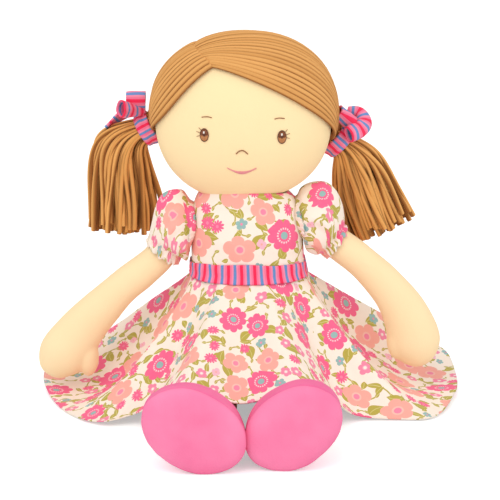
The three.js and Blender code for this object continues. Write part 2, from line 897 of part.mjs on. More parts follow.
// Waistband: wrapped over the join of bodice and skirt
function waistbandRings(grow) {
  const low = waistHeight + seamGap;
  const high = low + waistbandHeight;
  const offset = dressEase + clothThickness + seamGap + grow;
  const heights = [low, mix(low, high, 0.5), high];
  return heights.map((height) => levelRing(bodiceSides, torsoAt(height), offset, height));
}

addPiece(doll, "waistband", wall(waistbandRings(clothThickness), waistbandRings(0), true), stripeColour);

// Skirt: hangs from the waist, lies over the legs in front and spreads on the floor at the sides
function skirtGrid() {
  const hemPoints = hemShares.map(([x, y, z]) => {
    const height = z * lapHeight + hemClearance + skirtThickness;
    return new THREE.Vector3(x * skirtReach, y * skirtReach, height);
  });
  const hem = new THREE.CatmullRomCurve3(hemPoints, true);
  const waist = torsoAt(waistHeight);
  const top = waistHeight - seamGap;
  const powers = [...hemShares, hemShares[0]].map((row) => row[3]);
  const rows = [];
  for (let i = 0; i < skirtRows; i += 1) {
    const share = i / (skirtRows - 1);
    const row = [];
    for (let j = 0; j < skirtColumns; j += 1) {
      const edge = hem.getPoint(j / skirtColumns);
      const angle = Math.atan2(edge.y, edge.x);
      const offset = dressEase + clothThickness;
      const [x, y] = ovalPoint(angle, waist.width + offset, waist.depth + offset, torsoPower);
      const fold = -Math.cos(skirtFoldCount * angle) * skirtFoldHeight * Math.sin(Math.PI * share);
      const drop = 1 - (1 - share) ** along(powers, j / skirtColumns);
      const height = mix(top, edge.z, drop) + fold;
      row.push(new THREE.Vector3(mix(x + waist.lean, edge.x, share), mix(y, edge.y, share), height));
    }
    rows.push(row);
  }
  return rows;
}

// The same grid moved in by the cloth's thickness, square to the cloth at each point.
function innerGrid(grid, thickness) {
  return grid.map((row, i) => row.map((point, j) => {
    const next = row[(j + 1) % row.length];
    const before = row[(j + row.length - 1) % row.length];
    const up = grid[Math.max(0, i - 1)][j];
    const down = grid[Math.min(grid.length - 1, i + 1)][j];
    const around = next.clone().sub(before);
    const out = around.cross(down.clone().sub(up)).normalize();
    const inward = out.z > 0 ? -thickness : thickness;
    return point.clone().addScaledVector(i === 0 ? out.setZ(0).normalize() : out, inward);
  }));
}

const skirtOuter = skirtGrid();
addPiece(doll, "skirt", wall(skirtOuter, innerGrid(skirtOuter, skirtThickness), true), dressColour);

// Head
const head = addGroup(doll, ...headCentre.toArray());
addPiece(head, "head", headSkin(0), skinColour);

// A tie's frame in the head's group: its middle, the way out along the bunch, and the way up across it
function tieFrame(one) {
  const tilt = one.tieTilt * radians;
  const centre = new THREE.Vector3(one.side * one.tieAcross, tieDepth, -one.tieBelow);
  const out = new THREE.Vector3(one.side * Math.cos(tilt), 0, -Math.sin(tilt));
  const up = new THREE.Vector3(one.side * Math.sin(tilt), 0, Math.cos(tilt));
  return { centre, out, up };
}

function tieRing(frame, alongTie, radius, count) {
  const ring = [];
  for (let j = 0; j < count; j += 1) {
    ring.push(tiePoint(frame, alongTie, radius, (turn * j) / count));
  }
  return ring;
}

// A point round a tie. The angle runs from the front over the top to the back.
function tiePoint(frame, alongTie, radius, angle) {
  const point = frame.centre.clone().addScaledVector(frame.out, alongTie);
  point.addScaledVector(frame.up, radius * Math.sin(angle));
  point.y -= radius * Math.cos(angle);
  return point;
}

// A direction part of the way from one to another, in even turns
function turned(from, to, share) {
  const angle = from.angleTo(to);
  const part = from.clone().multiplyScalar(Math.sin((1 - share) * angle));
  return part.addScaledVector(to, Math.sin(share * angle)).normalize();
}

// One strand of a hair section, from the parting over the head and into the tie
const partingLine = lineOf(partingShares, new THREE.Vector3(1, 1, 1));
const sagDirection = new THREE.Vector3(0, -1, -1).normalize();

function strandPoints(one, across, startOffset, endRadius) {
  const frame = tieFrame(one);
  const start = partingLine.getPointAt(across).normalize();
  const degrees = mix(hairFirstDegrees, hairLastDegrees, across);
  const end = tiePoint(frame, -tieOverlap - bandWidth / 2, endRadius, degrees * radians);
  const size = new THREE.Vector3(headHalfWidth, headHalfDepth, headHalfHeight);
  const endDirection = end.clone().divide(size).normalize();
  const lift = end.length() / headPoint(endDirection, 0).length() - 1;
  const sag = hairlineSag * Math.max(0, 1 - across / hairlineSagShare);
  const first = partingGap / headHalfHeight;
  const points = [];
  for (let i = 0; i < one.hairRows; i += 1) {
    const share = mix(first, 1, i / (one.hairRows - 1));
    const direction = turned(start, endDirection, share);
    direction.addScaledVector(sagDirection, sag * Math.sin(Math.PI * share)).normalize();
    const raised = share ** one.hairLiftPower;
    points.push(headPoint(direction, startOffset * (1 - raised), lift * raised));
  }
  points.push(tiePoint(frame, tieOverlap - bandWidth / 2, endRadius - seamGap, degrees * radians));
  return points;
}

function hairShape(one) {
  const columns = hairRidges * ridgeSteps;
  const outer = [];
  const inner = [];
  for (let j = 0; j <= columns; j += 1) {
    const across = j / columns;
    const ridge = hairRidge * (Math.abs(Math.sin(Math.PI * across * hairRidges)) - 1);
    outer.push(strandPoints(one, across, hairGap + hairThickness + ridge, tieRadius + ridge / 2));
    inner.push(strandPoints(one, across, hairGap, tieCoreRadius));
  }
  return wall(outer, inner, false);
}

// The free bunch below a tie: a ridged bundle that hangs behind the sleeve and ends raggedly
function bunchShape(one, frame) {
  const scale = new THREE.Vector3(one.side * bunchHalfWidth, bunchHalfWidth, -bunchDrop);
  const line = lineOf(one.bunchShares, scale);
  const start = frame.centre.clone().addScaledVector(frame.out, bandWidth / 2 + seamGap);
  const rings = [];
  for (let i = 0; i < bunchRows; i += 1) {
    const share = i / (bunchRows - 1);
    const width = i === 0 ? bunchRootRadius : along(bunchWidthShares, share) * bunchHalfWidth;
    const spread = Math.min(1, bunchSpread * share);
    const depth = mix(bunchRootRadius, bunchHalfDepth, spread);
    const direction = i === 0 ? frame.out : line.getTangentAt(share);
    const ripple = (angle, j) => (j % 2 ? -bunchRidge : 0);
    const ring = bentRing(line.getPointAt(share).add(start), direction, width, depth, bunchSides, ripple);
    rings.push(ring);
  }
  const ends = rings[bunchRows - 1];
  ends.forEach((point, j) => {
    point.z += strandEndStep * ((j % 4) / 4 - (j % 3) / 3);
  });
  return loft(rings, start, middle(ends));
}

function bandShape(frame) {
  const half = bandWidth / 2;
  const ringsOf = (radius) => [-half, half].map((place) => tieRing(frame, place, radius, bandSides));
  return wall(ringsOf(tieRadius + seamGap + bandThickness), ringsOf(tieRadius + seamGap), true);
}

// The bundle that the band holds, between the section on the head and the free bunch
function coreShape(frame) {
  const half = bandWidth / 2;
  const rings = [-1, 1].map((end) => tieRing(frame, end * half, tieRadius, bandSides));
  const tipOf = (end) => frame.centre.clone().addScaledVector(frame.out, end * half);
  return loft(rings, tipOf(-1), tipOf(1));
}

// The knot's distance from the tie's middle line
const bowRadius = tieRadius + seamGap + bandThickness + bowGap + bowKnotRadius;

// One loop of ribbon on a tie: an oval ring of cloth that stands out from the knot
function ribbonLoop(frame, loop) {
  const [alongShare, aroundDegrees, leanDegrees, turnDegrees, lengthShare, heightShare] = loop;
  const root = tiePoint(frame, alongShare * bandWidth, bowRadius + bowLoopRise, aroundDegrees * radians);
  const length = lengthShare * bowLoopLength;
  const height = heightShare * bowLoopLength;
  const reach = frame.up.clone().multiplyScalar(Math.sin(leanDegrees * radians));
  reach.addScaledVector(frame.out, Math.cos(leanDegrees * radians));
  const widthWay = new THREE.Vector3(0, -1, 0).applyAxisAngle(reach, turnDegrees * radians);
  const thickWay = reach.clone().cross(widthWay);
  const ringsOf = (inset) => [-0.5, 0.5].map((share) => {
    const ring = [];
    for (let j = 0; j < bowSides; j += 1) {
      const angle = (turn * j) / bowSides;
      const point = root.clone().addScaledVector(widthWay, share * bowRibbonWidth);
      point.addScaledVector(reach, length / 2 + (length / 2 - inset) * Math.cos(angle));
      point.addScaledVector(thickWay, (height / 2 - inset) * Math.sin(angle));
      ring.push(point);
    }
    return ring;
  });
  return wall(ringsOf(0), ringsOf(bowThickness), true);
}

function bowShape(one, frame) {
  const knotCentre = tiePoint(frame, 0, bowRadius, Math.PI / 2);
  const knot = new THREE.SphereGeometry(bowKnotRadius, 10, 6).translate(...knotCentre.toArray());
  return join(knot, ...one.bowLoops.map((loop) => ribbonLoop(frame, loop)));
}

for (const one of sides) {
  const frame = tieFrame(one);
  addPiece(head, `hair_${one.name}`, join(hairShape(one), coreShape(frame)), hairColour);
  addPiece(head, `hair_tie_${one.name}`, bandShape(frame), stripeColour);
  addPiece(head, `bow_${one.name}`, bowShape(one, frame), stripeColour);
  addPiece(head, `pigtail_${one.name}`, bunchShape(one, frame), hairColour);
}

// A line of thread on the face. Its width may change along it.
function stitchLine(path, widthAt, steps = threadSteps) {
  const rings = [];
  for (let i = 0; i <= steps; i += 1) {
    const share = i / steps;
    const [x, z] = path(share);
    const [nextX, nextZ] = path(share + 1 / steps);
    const way = new THREE.Vector2(nextX - x, nextZ - z).normalize();
    const half = widthAt(share) / 2;
    const [left, right] = [[x - way.y * half, z + way.x * half], [x + way.y * half, z - way.x * half]];
    rings.push([
      facePoint(...left, seamGap),
      facePoint(...left, seamGap + threadHeight),
      facePoint(...right, seamGap + threadHeight),
      facePoint(...right, seamGap),
    ]);
  }
  return loft(rings, middle(rings[0]), middle(rings[steps]));
}

// An oval eye with its lashes fanned out on the outer side
function eyeShape(side) {
  const across = side * eyeAcross;
  const ringAt = (share, offset) => {
    const ring = [];
    for (let j = 0; j < eyeSides; j += 1) {
      const angle = (turn * j) / eyeSides;
      const [x, z] = [eyeHalfWidth * share * Math.cos(angle), eyeHalfHeight * share * Math.sin(angle)];
      ring.push(facePoint(across + x, z - eyeBelow, offset));
    }
    return ring;
  };
  const rim = seamGap + threadHeight;
  const crown = rim + threadHeight / 2;
  const rings = [ringAt(1, seamGap), ringAt(1, rim), ringAt(eyeCrownShare, crown)];
  const oval = loft(rings, facePoint(across, -eyeBelow, seamGap), facePoint(across, -eyeBelow, crown));
  const lashes = [];
  for (let i = 0; i < lashCount; i += 1) {
    const angle = (i / (lashCount - 1) - lashFanShare) * lashFanDegrees * radians;
    const path = (share) => {
      const reach = eyeHalfWidth - threadWidth / 2 + share * lashLength;
      return [across + side * reach * Math.cos(angle), reach * Math.sin(angle) - eyeBelow];
    };
    lashes.push(stitchLine(path, () => lashWidth, lashSteps));
  }
  return join(oval, ...lashes);
}

for (const one of sides) {
  addPiece(head, `eye_${one.name}`, eyeShape(one.side), eyeColour, threadRoughness);
  const browPath = (share) => [
    one.side * (browAcross + browLength * (share - 0.5)),
    browAbove + browArch * Math.sin(Math.PI * share),
  ];
  const brow = stitchLine(browPath, () => threadWidth);
  addPiece(head, `brow_${one.name}`, brow, threadColour, threadRoughness);
}

const nosePath = (share) => [
  noseAcross + noseHalfWidth * (2 * share - 1),
  noseArch * Math.sin(Math.PI * share) - noseBelow,
];
addPiece(head, "nose_stitch", stitchLine(nosePath, () => threadWidth), threadColour, threadRoughness);

const mouthPath = (share) => [
  mouthAcross + mouthHalfWidth * (2 * share - 1),
  -mouthBelow - mouthSag * Math.sin(Math.PI * share),
];
const mouthWidth = (share) => mix(mouthEndWidth, mouthMiddleWidth, Math.sin(Math.PI * share) ** 3);
addPiece(head, "mouth_stitch", stitchLine(mouthPath, mouthWidth), mouthColour, threadRoughness);

export default doll;
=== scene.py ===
# A soft rag doll, sitting on a pale floor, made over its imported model.
# The numbers in the tables are millimetres, and the meshes are metres.
# The doll faces -Y, and left in every name is at -X.
import math

import bmesh
import bpy
import numpy as np
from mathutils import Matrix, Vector


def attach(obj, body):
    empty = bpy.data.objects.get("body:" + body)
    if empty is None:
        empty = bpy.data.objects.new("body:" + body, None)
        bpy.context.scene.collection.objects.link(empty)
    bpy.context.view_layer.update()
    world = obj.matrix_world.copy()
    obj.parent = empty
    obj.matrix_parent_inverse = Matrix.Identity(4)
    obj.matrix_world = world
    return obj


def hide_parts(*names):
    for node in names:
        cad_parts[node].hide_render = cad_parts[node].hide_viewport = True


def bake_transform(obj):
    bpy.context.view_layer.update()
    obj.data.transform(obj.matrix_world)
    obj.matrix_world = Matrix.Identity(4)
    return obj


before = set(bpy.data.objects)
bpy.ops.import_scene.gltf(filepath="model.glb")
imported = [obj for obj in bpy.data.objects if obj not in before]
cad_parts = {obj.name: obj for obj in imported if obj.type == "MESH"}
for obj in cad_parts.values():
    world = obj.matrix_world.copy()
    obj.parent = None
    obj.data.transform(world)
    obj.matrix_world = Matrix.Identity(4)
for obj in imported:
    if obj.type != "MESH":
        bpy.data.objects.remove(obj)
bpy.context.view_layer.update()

# Body
# The body is a pear-shaped bag of brushed cream jersey, stuffed firm with fibre, and mostly under the dress.
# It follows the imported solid, which has the hollows for the legs and the head, with its facets rubbed smooth.
mm = 0.001
turn = 2 * math.pi
weld_distance = 0.01
torso_cell = 2.0
torso_rubs = 6
soft_specular = 0.2
sheen_roughness = 0.6


def linear(code):
    """A hex colour in linear light, by the sRGB curve."""
    parts = [int(code[i:i + 2], 16) / 255 for i in (1, 3, 5)]
    return [part / 12.92 if part <= 0.04045 else ((part + 0.055) / 1.055) ** 2.4 for part in parts] + [1.0]


class Field:
    """A node's output to reckon with: each operation adds a Math node to its tree."""

    def __init__(self, socket):
        self.socket = socket


for sign, operation in (
    ("add", "ADD"), ("sub", "SUBTRACT"), ("mul", "MULTIPLY"), ("truediv", "DIVIDE"), ("pow", "POWER"),
    ("lt", "LESS_THAN"), ("gt", "GREATER_THAN"), ("abs", "ABSOLUTE"),
):
    setattr(Field, f"__{sign}__", lambda self, *others, step=operation: calc(step, self, *others))
for sign, operation in (("rsub", "SUBTRACT"), ("rtruediv", "DIVIDE")):
    setattr(Field, f"__{sign}__", lambda self, other, step=operation: calc(step, other, self))


def feed(inputs, values):
    """Link fields to a node's inputs, and write plain values and colours there."""
    for name, value in values.items():
        socket = inputs[name]
        if isinstance(value, Field):
            socket.id_data.links.new(value.socket, socket)
        else:
            socket.default_value = linear(value) if str(value).startswith("#") else value


def new_node(tree, kind, values={}, **settings):
    made = tree.nodes.new(kind)
    for name, value in settings.items():
        setattr(made, name, value)
    feed(made.inputs, values)
    return made


def outputs(node):
    """A node's outputs as fields, by number and by name."""
    numbered = reversed(list(enumerate(node.outputs)))
    return {key: Field(socket) for number, socket in numbered for key in (number, socket.name)}


def add_node(tree, kind, values={}, **settings):
    return outputs(new_node(tree, kind, values, **settings))


def calc(operation, *values):
    tree = next(value.socket.id_data for value in values if isinstance(value, Field))
    return add_node(tree, "ShaderNodeMath", dict(enumerate(values)), operation=operation)[0]


def new_group(name, inputs, results):
    group = bpy.data.node_groups.new(name, "ShaderNodeTree")
    for title, value in {"Vector": (0, 0, 0), **inputs}.items():
        kind = "NodeSocketVector" if title == "Vector" else "NodeSocketFloat"
        group.interface.new_socket(title, in_out="INPUT", socket_type=kind).default_value = value
    for title in results:
        group.interface.new_socket(title, in_out="OUTPUT", socket_type="NodeSocketFloat")
    return group, add_node(group, "NodeGroupInput"), group.nodes.new("NodeGroupOutput").inputs


def use_group(tree, group, values):
    return add_node(tree, "ShaderNodeGroup", values, node_tree=group)


def mixed(tree, factor, first, second):
    return add_node(tree, "ShaderNodeMix", {0: factor, 6: first, 7: second}, data_type="RGBA")[2]


def new_material(name, roughness, sheen=0.0, sheen_colour="#ffffff"):
    made = bpy.data.materials.new(name)
    made.use_nodes = True
    shader = made.node_tree.nodes["Principled BSDF"].inputs
    feed(shader, {
        "Roughness": roughness, "Specular IOR Level": soft_specular,
        "Sheen Weight": sheen, "Sheen Roughness": sheen_roughness, "Sheen Tint": sheen_colour,
    })
    return made, made.node_tree, shader


def dress_shader(tree, shader, colour, height, depth, strength):
    bump = add_node(tree, "ShaderNodeBump", {"Height": height, "Distance": depth, "Strength": strength})[0]
    feed(shader, {"Base Color": colour, "Normal": bump})


# Brushed fibre: fine fuzz for the bump, and broad soft patches for the tone
nap_scales = {"Fibre Scale": 1400.0, "Patch Scale": 30.0}
nap_group, entry, leave = new_group("brushed_nap", nap_scales, ["Height", "Patch"])
for title, scale, detail in (("Height", "Fibre Scale", 3.0), ("Patch", "Patch Scale", 2.0)):
    noise = {"Vector": entry["Vector"], "Scale": entry[scale], "Detail": detail}
    feed(leave, {title: add_node(nap_group, "ShaderNodeTexNoise", noise)[0]})


def brushed(tree, scales={}):
    place = add_node(tree, "ShaderNodeTexCoord")["Object"]
    return use_group(tree, nap_group, {"Vector": place, **scales})


def jersey_material(name, cream, peach):
    made, tree, shader = new_material(name, roughness=0.92, sheen=0.25, sheen_colour="#ffe0c0")
    nap = brushed(tree)
    colour = mixed(tree, nap["Patch"] * 0.35, cream, peach)
    dress_shader(tree, shader, colour, nap["Height"], depth=0.0004, strength=0.5)
    return made


skin_material = jersey_material("cream_jersey", "#ffe6b8", "#ffdaa4")


def placed(name, data):
    thing = bpy.data.objects.new(name, data)
    bpy.context.scene.collection.objects.link(thing)
    return thing


def shown(name, mesh, material):
    mesh.materials.clear()
    mesh.materials.append(material)
    mesh.shade_smooth()
    return placed(name, mesh)


def edited(mesh, edit):
    shape = bmesh.new()
    shape.from_mesh(mesh)
    edit(shape)
    shape.to_mesh(mesh)
    shape.free()
    return mesh


def settle(piece):
    graph = bpy.context.evaluated_depsgraph_get()
    final = piece.evaluated_get(graph)
    made = bpy.data.meshes.new_from_object(final, preserve_all_data_layers=True, depsgraph=graph)
    piece.modifiers.clear()
    piece.data = made
    made.shade_smooth()
    return piece


def changed(piece, kind, **settings):
    change = piece.modifiers.new(kind.lower(), kind)
    for name, value in settings.items():
        setattr(change, name, value)


def rubbed(piece, cell, passes):
    changed(piece, "REMESH", mode="VOXEL", voxel_size=cell * mm)
    changed(piece, "SMOOTH", factor=0.5, iterations=passes)
    return settle(piece)


solid = edited(
    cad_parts["torso"].data.copy(),
    lambda shape: bmesh.ops.remove_doubles(shape, verts=shape.verts, dist=weld_distance * mm),
)
torso = rubbed(shown("torso_bag", solid, skin_material), torso_cell, torso_rubs)
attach(torso, "torso")
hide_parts("torso")

# Legs
# Each leg is a straight jersey tube, stuffed, with a round root that is sewn into the body.
# Only a little of it shows, between the feet and under the hem.
sides = {"left": -1, "right": 1}
leg_radius = 20.5
leg_columns = 48
ankle_radius = 17.6
hip_spread = 28.0
hip_depth = 32.0
rest_flat = 0.5
ankle_depths = {"left": 129.0, "right": 123.0}
ankle_in = {"left": 0.0, "right": 6.5}
ankle_rise = 0.5
root_rings = 10
tube_rings = 34
lump_waves = 7
lump_scale = 2.6


def ring_angles(count):
    return np.arange(count) * turn / count


def surface(name, grid, material, uv=None, round_way=True, tips=(None, None)):
    """A piece from rows of points, closed round each row and at its tips where that is asked."""
    rows, columns = grid.shape[:2]
    points = [tuple(p) for p in grid.reshape(-1, 3) * mm]
    steps = range(columns if round_way else columns - 1)
    corners = [[(i, j), (i, j + 1), (i + 1, j + 1), (i + 1, j)] for i in range(rows - 1) for j in steps]
    faces = [[i * columns + j % columns for i, j in face] for face in corners]
    for row, tip in ((0, tips[0]), (rows - 1, tips[1])):
        if tip is not None:
            points.append(tuple(np.asarray(tip) * mm))
            corners += [[(row, j + 1), (row, j), (row, j)] for j in steps]
            faces += [[row * columns + (j + 1) % columns, row * columns + j, len(points) - 1] for j in steps]
    mesh = bpy.data.meshes.new(name)
    mesh.from_pydata(points, [], faces)
    if uv is not None:
        flat = np.array([uv[i, j] for face in corners for i, j in face])
        mesh.uv_layers.new(name="UVMap").data.foreach_set("uv", (flat * mm).ravel())
    return shown(name, facing_out(mesh), material)


def facing_out(mesh):
    return edited(mesh, lambda shape: bmesh.ops.recalc_face_normals(shape, faces=shape.faces))


def lumps(points, length, height, seed):
    """Soft waves of stuffing: how far each point is raised."""
    chance = np.random.default_rng(seed)
    total = np.zeros(len(points))
    for _ in range(lump_waves):
        way = chance.normal(size=3)
        way *= turn / length * chance.uniform(0.6, 1.3) / np.linalg.norm(way)
        total += np.sin(points @ way + chance.uniform(0, turn))
    return total * height / lump_scale


def vectors_of(collection, title):
    values = np.empty(len(collection) * 3, np.float32)
    collection.foreach_get(title, values)
    return values.reshape(-1, 3)


def pushed(piece, length, height, seed):
    mesh = piece.data
    points = vectors_of(mesh.vertices, "co")
    rise = lumps(points / mm, length, height, seed) * mm
    points += vectors_of(mesh.vertex_normals, "vector") * rise[:, None]
    mesh.vertices.foreach_set("co", points.ravel())
    mesh.update()


for name, side in sides.items():
    centre = np.array([side * hip_spread, -hip_depth, leg_radius + rest_flat])
    root_angles = math.pi / 2 * np.arange(1, root_rings) / root_rings
    rings = [(centre + [0, leg_radius * math.cos(a), 0], leg_radius * math.sin(a)) for a in root_angles]
    to_ankle = np.array([-side * ankle_in[name], hip_depth - ankle_depths[name], ankle_rise])
    for share in np.linspace(0, 1, tube_rings):
        rings.append((centre + to_ankle * share, leg_radius + (ankle_radius - leg_radius) * share))
    around = ring_angles(leg_columns)
    ring = np.stack([np.cos(around), 0 * around, np.sin(around)], 1)
    grid = np.array([place + radius * ring for place, radius in rings])
    leg = surface(f"leg_{name}_tube", grid, skin_material, tips=(centre + [0, leg_radius, 0], rings[-1][0]))
    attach(leg, f"leg_{name}")
    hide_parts(f"leg_{name}")

# Shoes
# A shoe is a velour foot, stuffed, that swells from the ankle to an oval sole panel which faces forward.
# The padded sole is sewn to the upper in a seam that puckers a little and draws in all round.
shoe_half_length = 35.6
shoe_half_width = 27.2
shoe_depth = 42.0
shoe_turn = math.radians(36.5)
shoe_opening_radius = 18.4
shoe_full = 0.74
shoe_columns = 112
sole_thickness = 6.5
sole_seam_inset = 1.1
sole_edge = [(0.955, 0.25), (0.985, 0.6)]
foot_centres = {"left": -38.3, "right": 31.1}
shoe_wide = {"left": 1.069, "right": 1.0}
shoe_shift = {"left": 0.5, "right": -1.7}
pucker_seeds = {"left": 11, "right": 12}
shoe_lumps = (34, 0.35, 5)
shoe_gap = 0.3
floor_gap = 0.2
rim_start = 0.9
rim_tuck = 2.2 * sole_seam_inset
upper_pucker = 0.004
sole_pucker = 0.005
sole_lead = 0.9
sole_swell = sole_thickness - 0.7
shoe_rise = math.hypot(shoe_half_length * math.sin(shoe_turn), shoe_half_width * math.cos(shoe_turn))


def velour_material(name, bright, deep):
    made, tree, shader = new_material(name, roughness=0.75, sheen=0.3, sheen_colour="#ff9cc6")
    nap = brushed(tree, {"Fibre Scale": 1100.0, "Patch Scale": 30.0})
    patch = add_node(tree, "ShaderNodeMapRange", {0: nap["Patch"], 1: 0.28, 2: 0.78})[0]
    dress_shader(tree, shader, mixed(tree, patch, bright, deep), nap["Height"], depth=0.0006, strength=0.6)
    return made


sole_material = velour_material("pink_velour", "#fd8fb6", "#f2739f")
# The upper is the sole's pink velour drawn darker: painted shade on the sides of the shoe and at the seam.
shade_painted_upper_velour = velour_material("shade_painted_pink_velour", "#f97eab", "#e85f94")


def shoe_ring(name, depth, grow, half_length, half_width):
    """An oval across the foot; grow runs from 0 at the ankle to 1 at the sole."""
    side = sides[name]
    around = ring_angles(shoe_columns)
    ankle = np.array([side * (hip_spread - ankle_in[name]), 0, leg_radius + rest_flat + ankle_rise])
    foot = np.array([foot_centres[name], 0, shoe_rise - rest_flat])
    centre = ankle + (foot - ankle) * grow
    wide = 1 + (shoe_wide[name] - 1) * grow
    a = (shoe_opening_radius + (half_length - shoe_opening_radius) * grow) * np.cos(around)
    b = (shoe_opening_radius + (half_width - shoe_opening_radius) * grow) * np.sin(around)
    x = side * (a * math.cos(shoe_turn) - b * math.sin(shoe_turn)) * wide
    z = a * math.sin(shoe_turn) + b * math.cos(shoe_turn)
    x += centre[0] + shoe_shift[name] * grow
    return np.stack([x, np.full(shoe_columns, depth), centre[2] + z], 1)


def padded_piece(name, rings, material):
    grid = np.array(rings)
    return surface(name, grid, material, tips=(grid[0].mean(0), grid[-1].mean(0)))


def puckered(ring, level):
    return ring + (ring - ring.mean(0)) * (level * pucker)[:, None]


for name in sides:
    back = -ankle_depths[name] - shoe_gap
    seam = back - shoe_depth
    noise = np.random.default_rng(pucker_seeds[name]).normal(size=shoe_columns)
    pucker = np.convolve(np.tile(noise, 3), np.ones(3) / 3, "same")[shoe_columns:2 * shoe_columns]
    rings = []
    for share in np.concatenate([np.linspace(0, rim_start, 30), np.linspace(0.915, 1, 8)]):
        grow = math.sin(math.pi / 2 * min(1, share / shoe_full)) ** 1.2
        close = max(0.0, (share - rim_start) / 0.1)
        tuck = rim_tuck * close ** 3
        depth = back + (seam - back) * share
        ring = shoe_ring(name, depth, grow, shoe_half_length - tuck, shoe_half_width - tuck)
        rings.append(puckered(ring, upper_pucker * close))
    upper = padded_piece(f"shoe_upper_{name}_velour", rings, shade_painted_upper_velour)
    dome = []
    for size in np.cos(np.linspace(0, 1.45, 40)) ** 0.62:
        dome.append((size, sole_lead + sole_swell * math.sin(math.acos(min(1.0, size) ** 2))))
    rings = []
    for size, forward in sole_edge + dome:
        ring = shoe_ring(name, seam - forward, 1, shoe_half_length * size, shoe_half_width * size)
        near_rim = max(0.0, size - 0.8) / 0.2
        rings.append(puckered(ring, sole_pucker * near_rim ** 2))
    sole = padded_piece(f"shoe_sole_{name}_velour", rings, sole_material)
    for piece, node_name in ((upper, f"shoe_upper_{name}"), (sole, f"shoe_sole_{name}")):
        pushed(piece, *shoe_lumps)
        for vertex in piece.data.vertices:
            vertex.co.z = max(vertex.co.z, floor_gap * mm)
        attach(piece, f"leg_{name}")
        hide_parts(node_name)

# Arms
# Each arm is a jersey tube, sewn flat at the shoulder, that widens into a mitten hand with a short thumb.
# Arm and thumb are cut in one and stuffed softly, so a shallow web runs between them.
arm_length = 150.0
hand_radius = 19.5
hand_flat = 0.76
thumb_radius = 8.8
arm_inset = 2.4
arm_tip_share = 0.14
arm_columns = 56
arm_cell = 1.3
arm_rubs = 9
arm_lumps = (30, 0.3, 8)
thumb_tip_share = 0.6
thumb_columns = 32
shoulders = {"left": np.array([-45.25, 0, 134.0]), "right": np.array([41.235, 0, 138.0])}
arm_widths = [0.68, 0.58, 0.62, 0.65, 0.72, 0.88, 1, 0.97]
arm_lines = {
    "left": [
        (0, 0, 0), (-0.045, 0, 0), (-0.11, -0.006, -0.095), (-0.16, -0.011, -0.178), (-0.229, -0.016, -0.238),
        (-0.317, -0.023, -0.309), (-0.398, -0.031, -0.385), (-0.495, -0.04, -0.485), (-0.575, -0.047, -0.577),
        (-0.634, -0.053, -0.662), (-0.671, -0.053, -0.733), (-0.688, -0.053, -0.789),
    ],
    "right": [
        (0, 0, 0), (0.045, 0, 0), (0.102, -0.006, -0.078), (0.168, -0.012, -0.136), (0.272, -0.02, -0.214),
        (0.375, -0.03, -0.308), (0.448, -0.038, -0.394), (0.5, -0.044, -0.476), (0.537, -0.05, -0.563),
        (0.563, -0.053, -0.659), (0.583, -0.053, -0.754),
    ],
}
thumb_lines = {
    "left": [(-0.535, -0.053, -0.57), (-0.52, -0.06, -0.66), (-0.512, -0.065, -0.725), (-0.515, -0.065, -0.782)],
    "right": [(0.48, -0.053, -0.52), (0.472, -0.06, -0.61), (0.468, -0.065, -0.67), (0.475, -0.065, -0.72)],
}


def unit(ways):
    return ways / np.linalg.norm(ways, axis=-1, keepdims=True)


def curve_at(points, places, closed=False):
    """Places on a smooth curve through the points, which doesn't overshoot where they stand unevenly."""
    points = np.asarray(points, float)
    spans = len(points) if closed else len(points) - 1
    if closed:
        reach = np.vstack([points[-1], points, points[:2]])
    else:
        reach = np.vstack([2 * points[0] - points[1], points, 2 * points[-1] - points[-2]])
    place = np.clip(np.asarray(places, float), 0, 1) * spans
    index = np.minimum(place.astype(int), spans - 1)
    t = (place - index)[:, None]
    p0, p1, p2, p3 = (reach[index + k] for k in range(4))
    pairs = ((p0, p1), (p1, p2), (p2, p3))
    d0, d1, d2 = (np.sqrt(np.linalg.norm(b - a, axis=1))[:, None] + 1e-9 for a, b in pairs)
    slope1 = ((p1 - p0) / d0 - (p2 - p0) / (d0 + d1) + (p2 - p1) / d1) * d1
    slope2 = ((p2 - p1) / d1 - (p3 - p1) / (d1 + d2) + (p3 - p2) / d2) * d1
    square = -3 * p1 + 3 * p2 - 2 * slope1 - slope2
    cube = 2 * p1 - 2 * p2 + slope1 + slope2
    return p1 + slope1 * t + square * t ** 2 + cube * t ** 3


def rows_at(places, rows, stations=None):
    """A table's columns at places between its rows, which are evenly spaced unless stations are given."""
    rows = np.asarray(rows, float)
    stations = np.linspace(0, 1, len(rows)) if stations is None else stations
    return np.stack([np.interp(places, stations, column) for column in rows.T], -1)


def run_along(points):
    return np.concatenate([[0], np.cumsum(np.linalg.norm(np.diff(points, axis=0), axis=1))])


def even_curve(points, shares):
    """Places and directions at shares of a curve's length, and the length."""
    fine = curve_at(points, np.linspace(0, 1, 600))
    run = run_along(fine)
    places = np.asarray(shares) * run[-1]
    step = run[-1] * 0.004
    found, ahead, behind = (rows_at(places + shift, fine, run) for shift in (0, step, -step))
    return found, unit(ahead - behind), run[-1]


def bent_rings(centres, ways, widths, depths, columns, ripple=0.0):
    flat = unit(ways * [1, 0, 1])
    up = np.stack([-flat[:, 2], 0 * flat[:, 0], flat[:, 0]], 1)
    around = ring_angles(columns)
    width, depth = (half[:, None] + np.zeros(columns) + ripple for half in (widths, depths))
    grid = centres[:, None, :] + up[:, None, :] * (width * np.cos(around))[:, :, None]
    grid[:, :, 1] += depth * np.sin(around)
    return grid


def smooth_step(value):
    value = np.clip(value, 0, 1)
    return value * value * (3 - 2 * value)


def arm_line(name):
    line = np.array(arm_lines[name]) * arm_length
    line[0, 0] -= sides[name] * arm_inset
    return line + shoulders[name]


def arm_width(share):
    """The arm's half width, averaged over a tenth of its length so that the table's steps don't show."""
    stations = np.linspace(0, 1, len(arm_widths))
    spread = np.linspace(-0.05, 0.05, 9)
    widths = [np.interp(np.clip(share + shift, 0, 1), stations, arm_widths) for shift in spread]
    return np.mean(widths, 0) * hand_radius


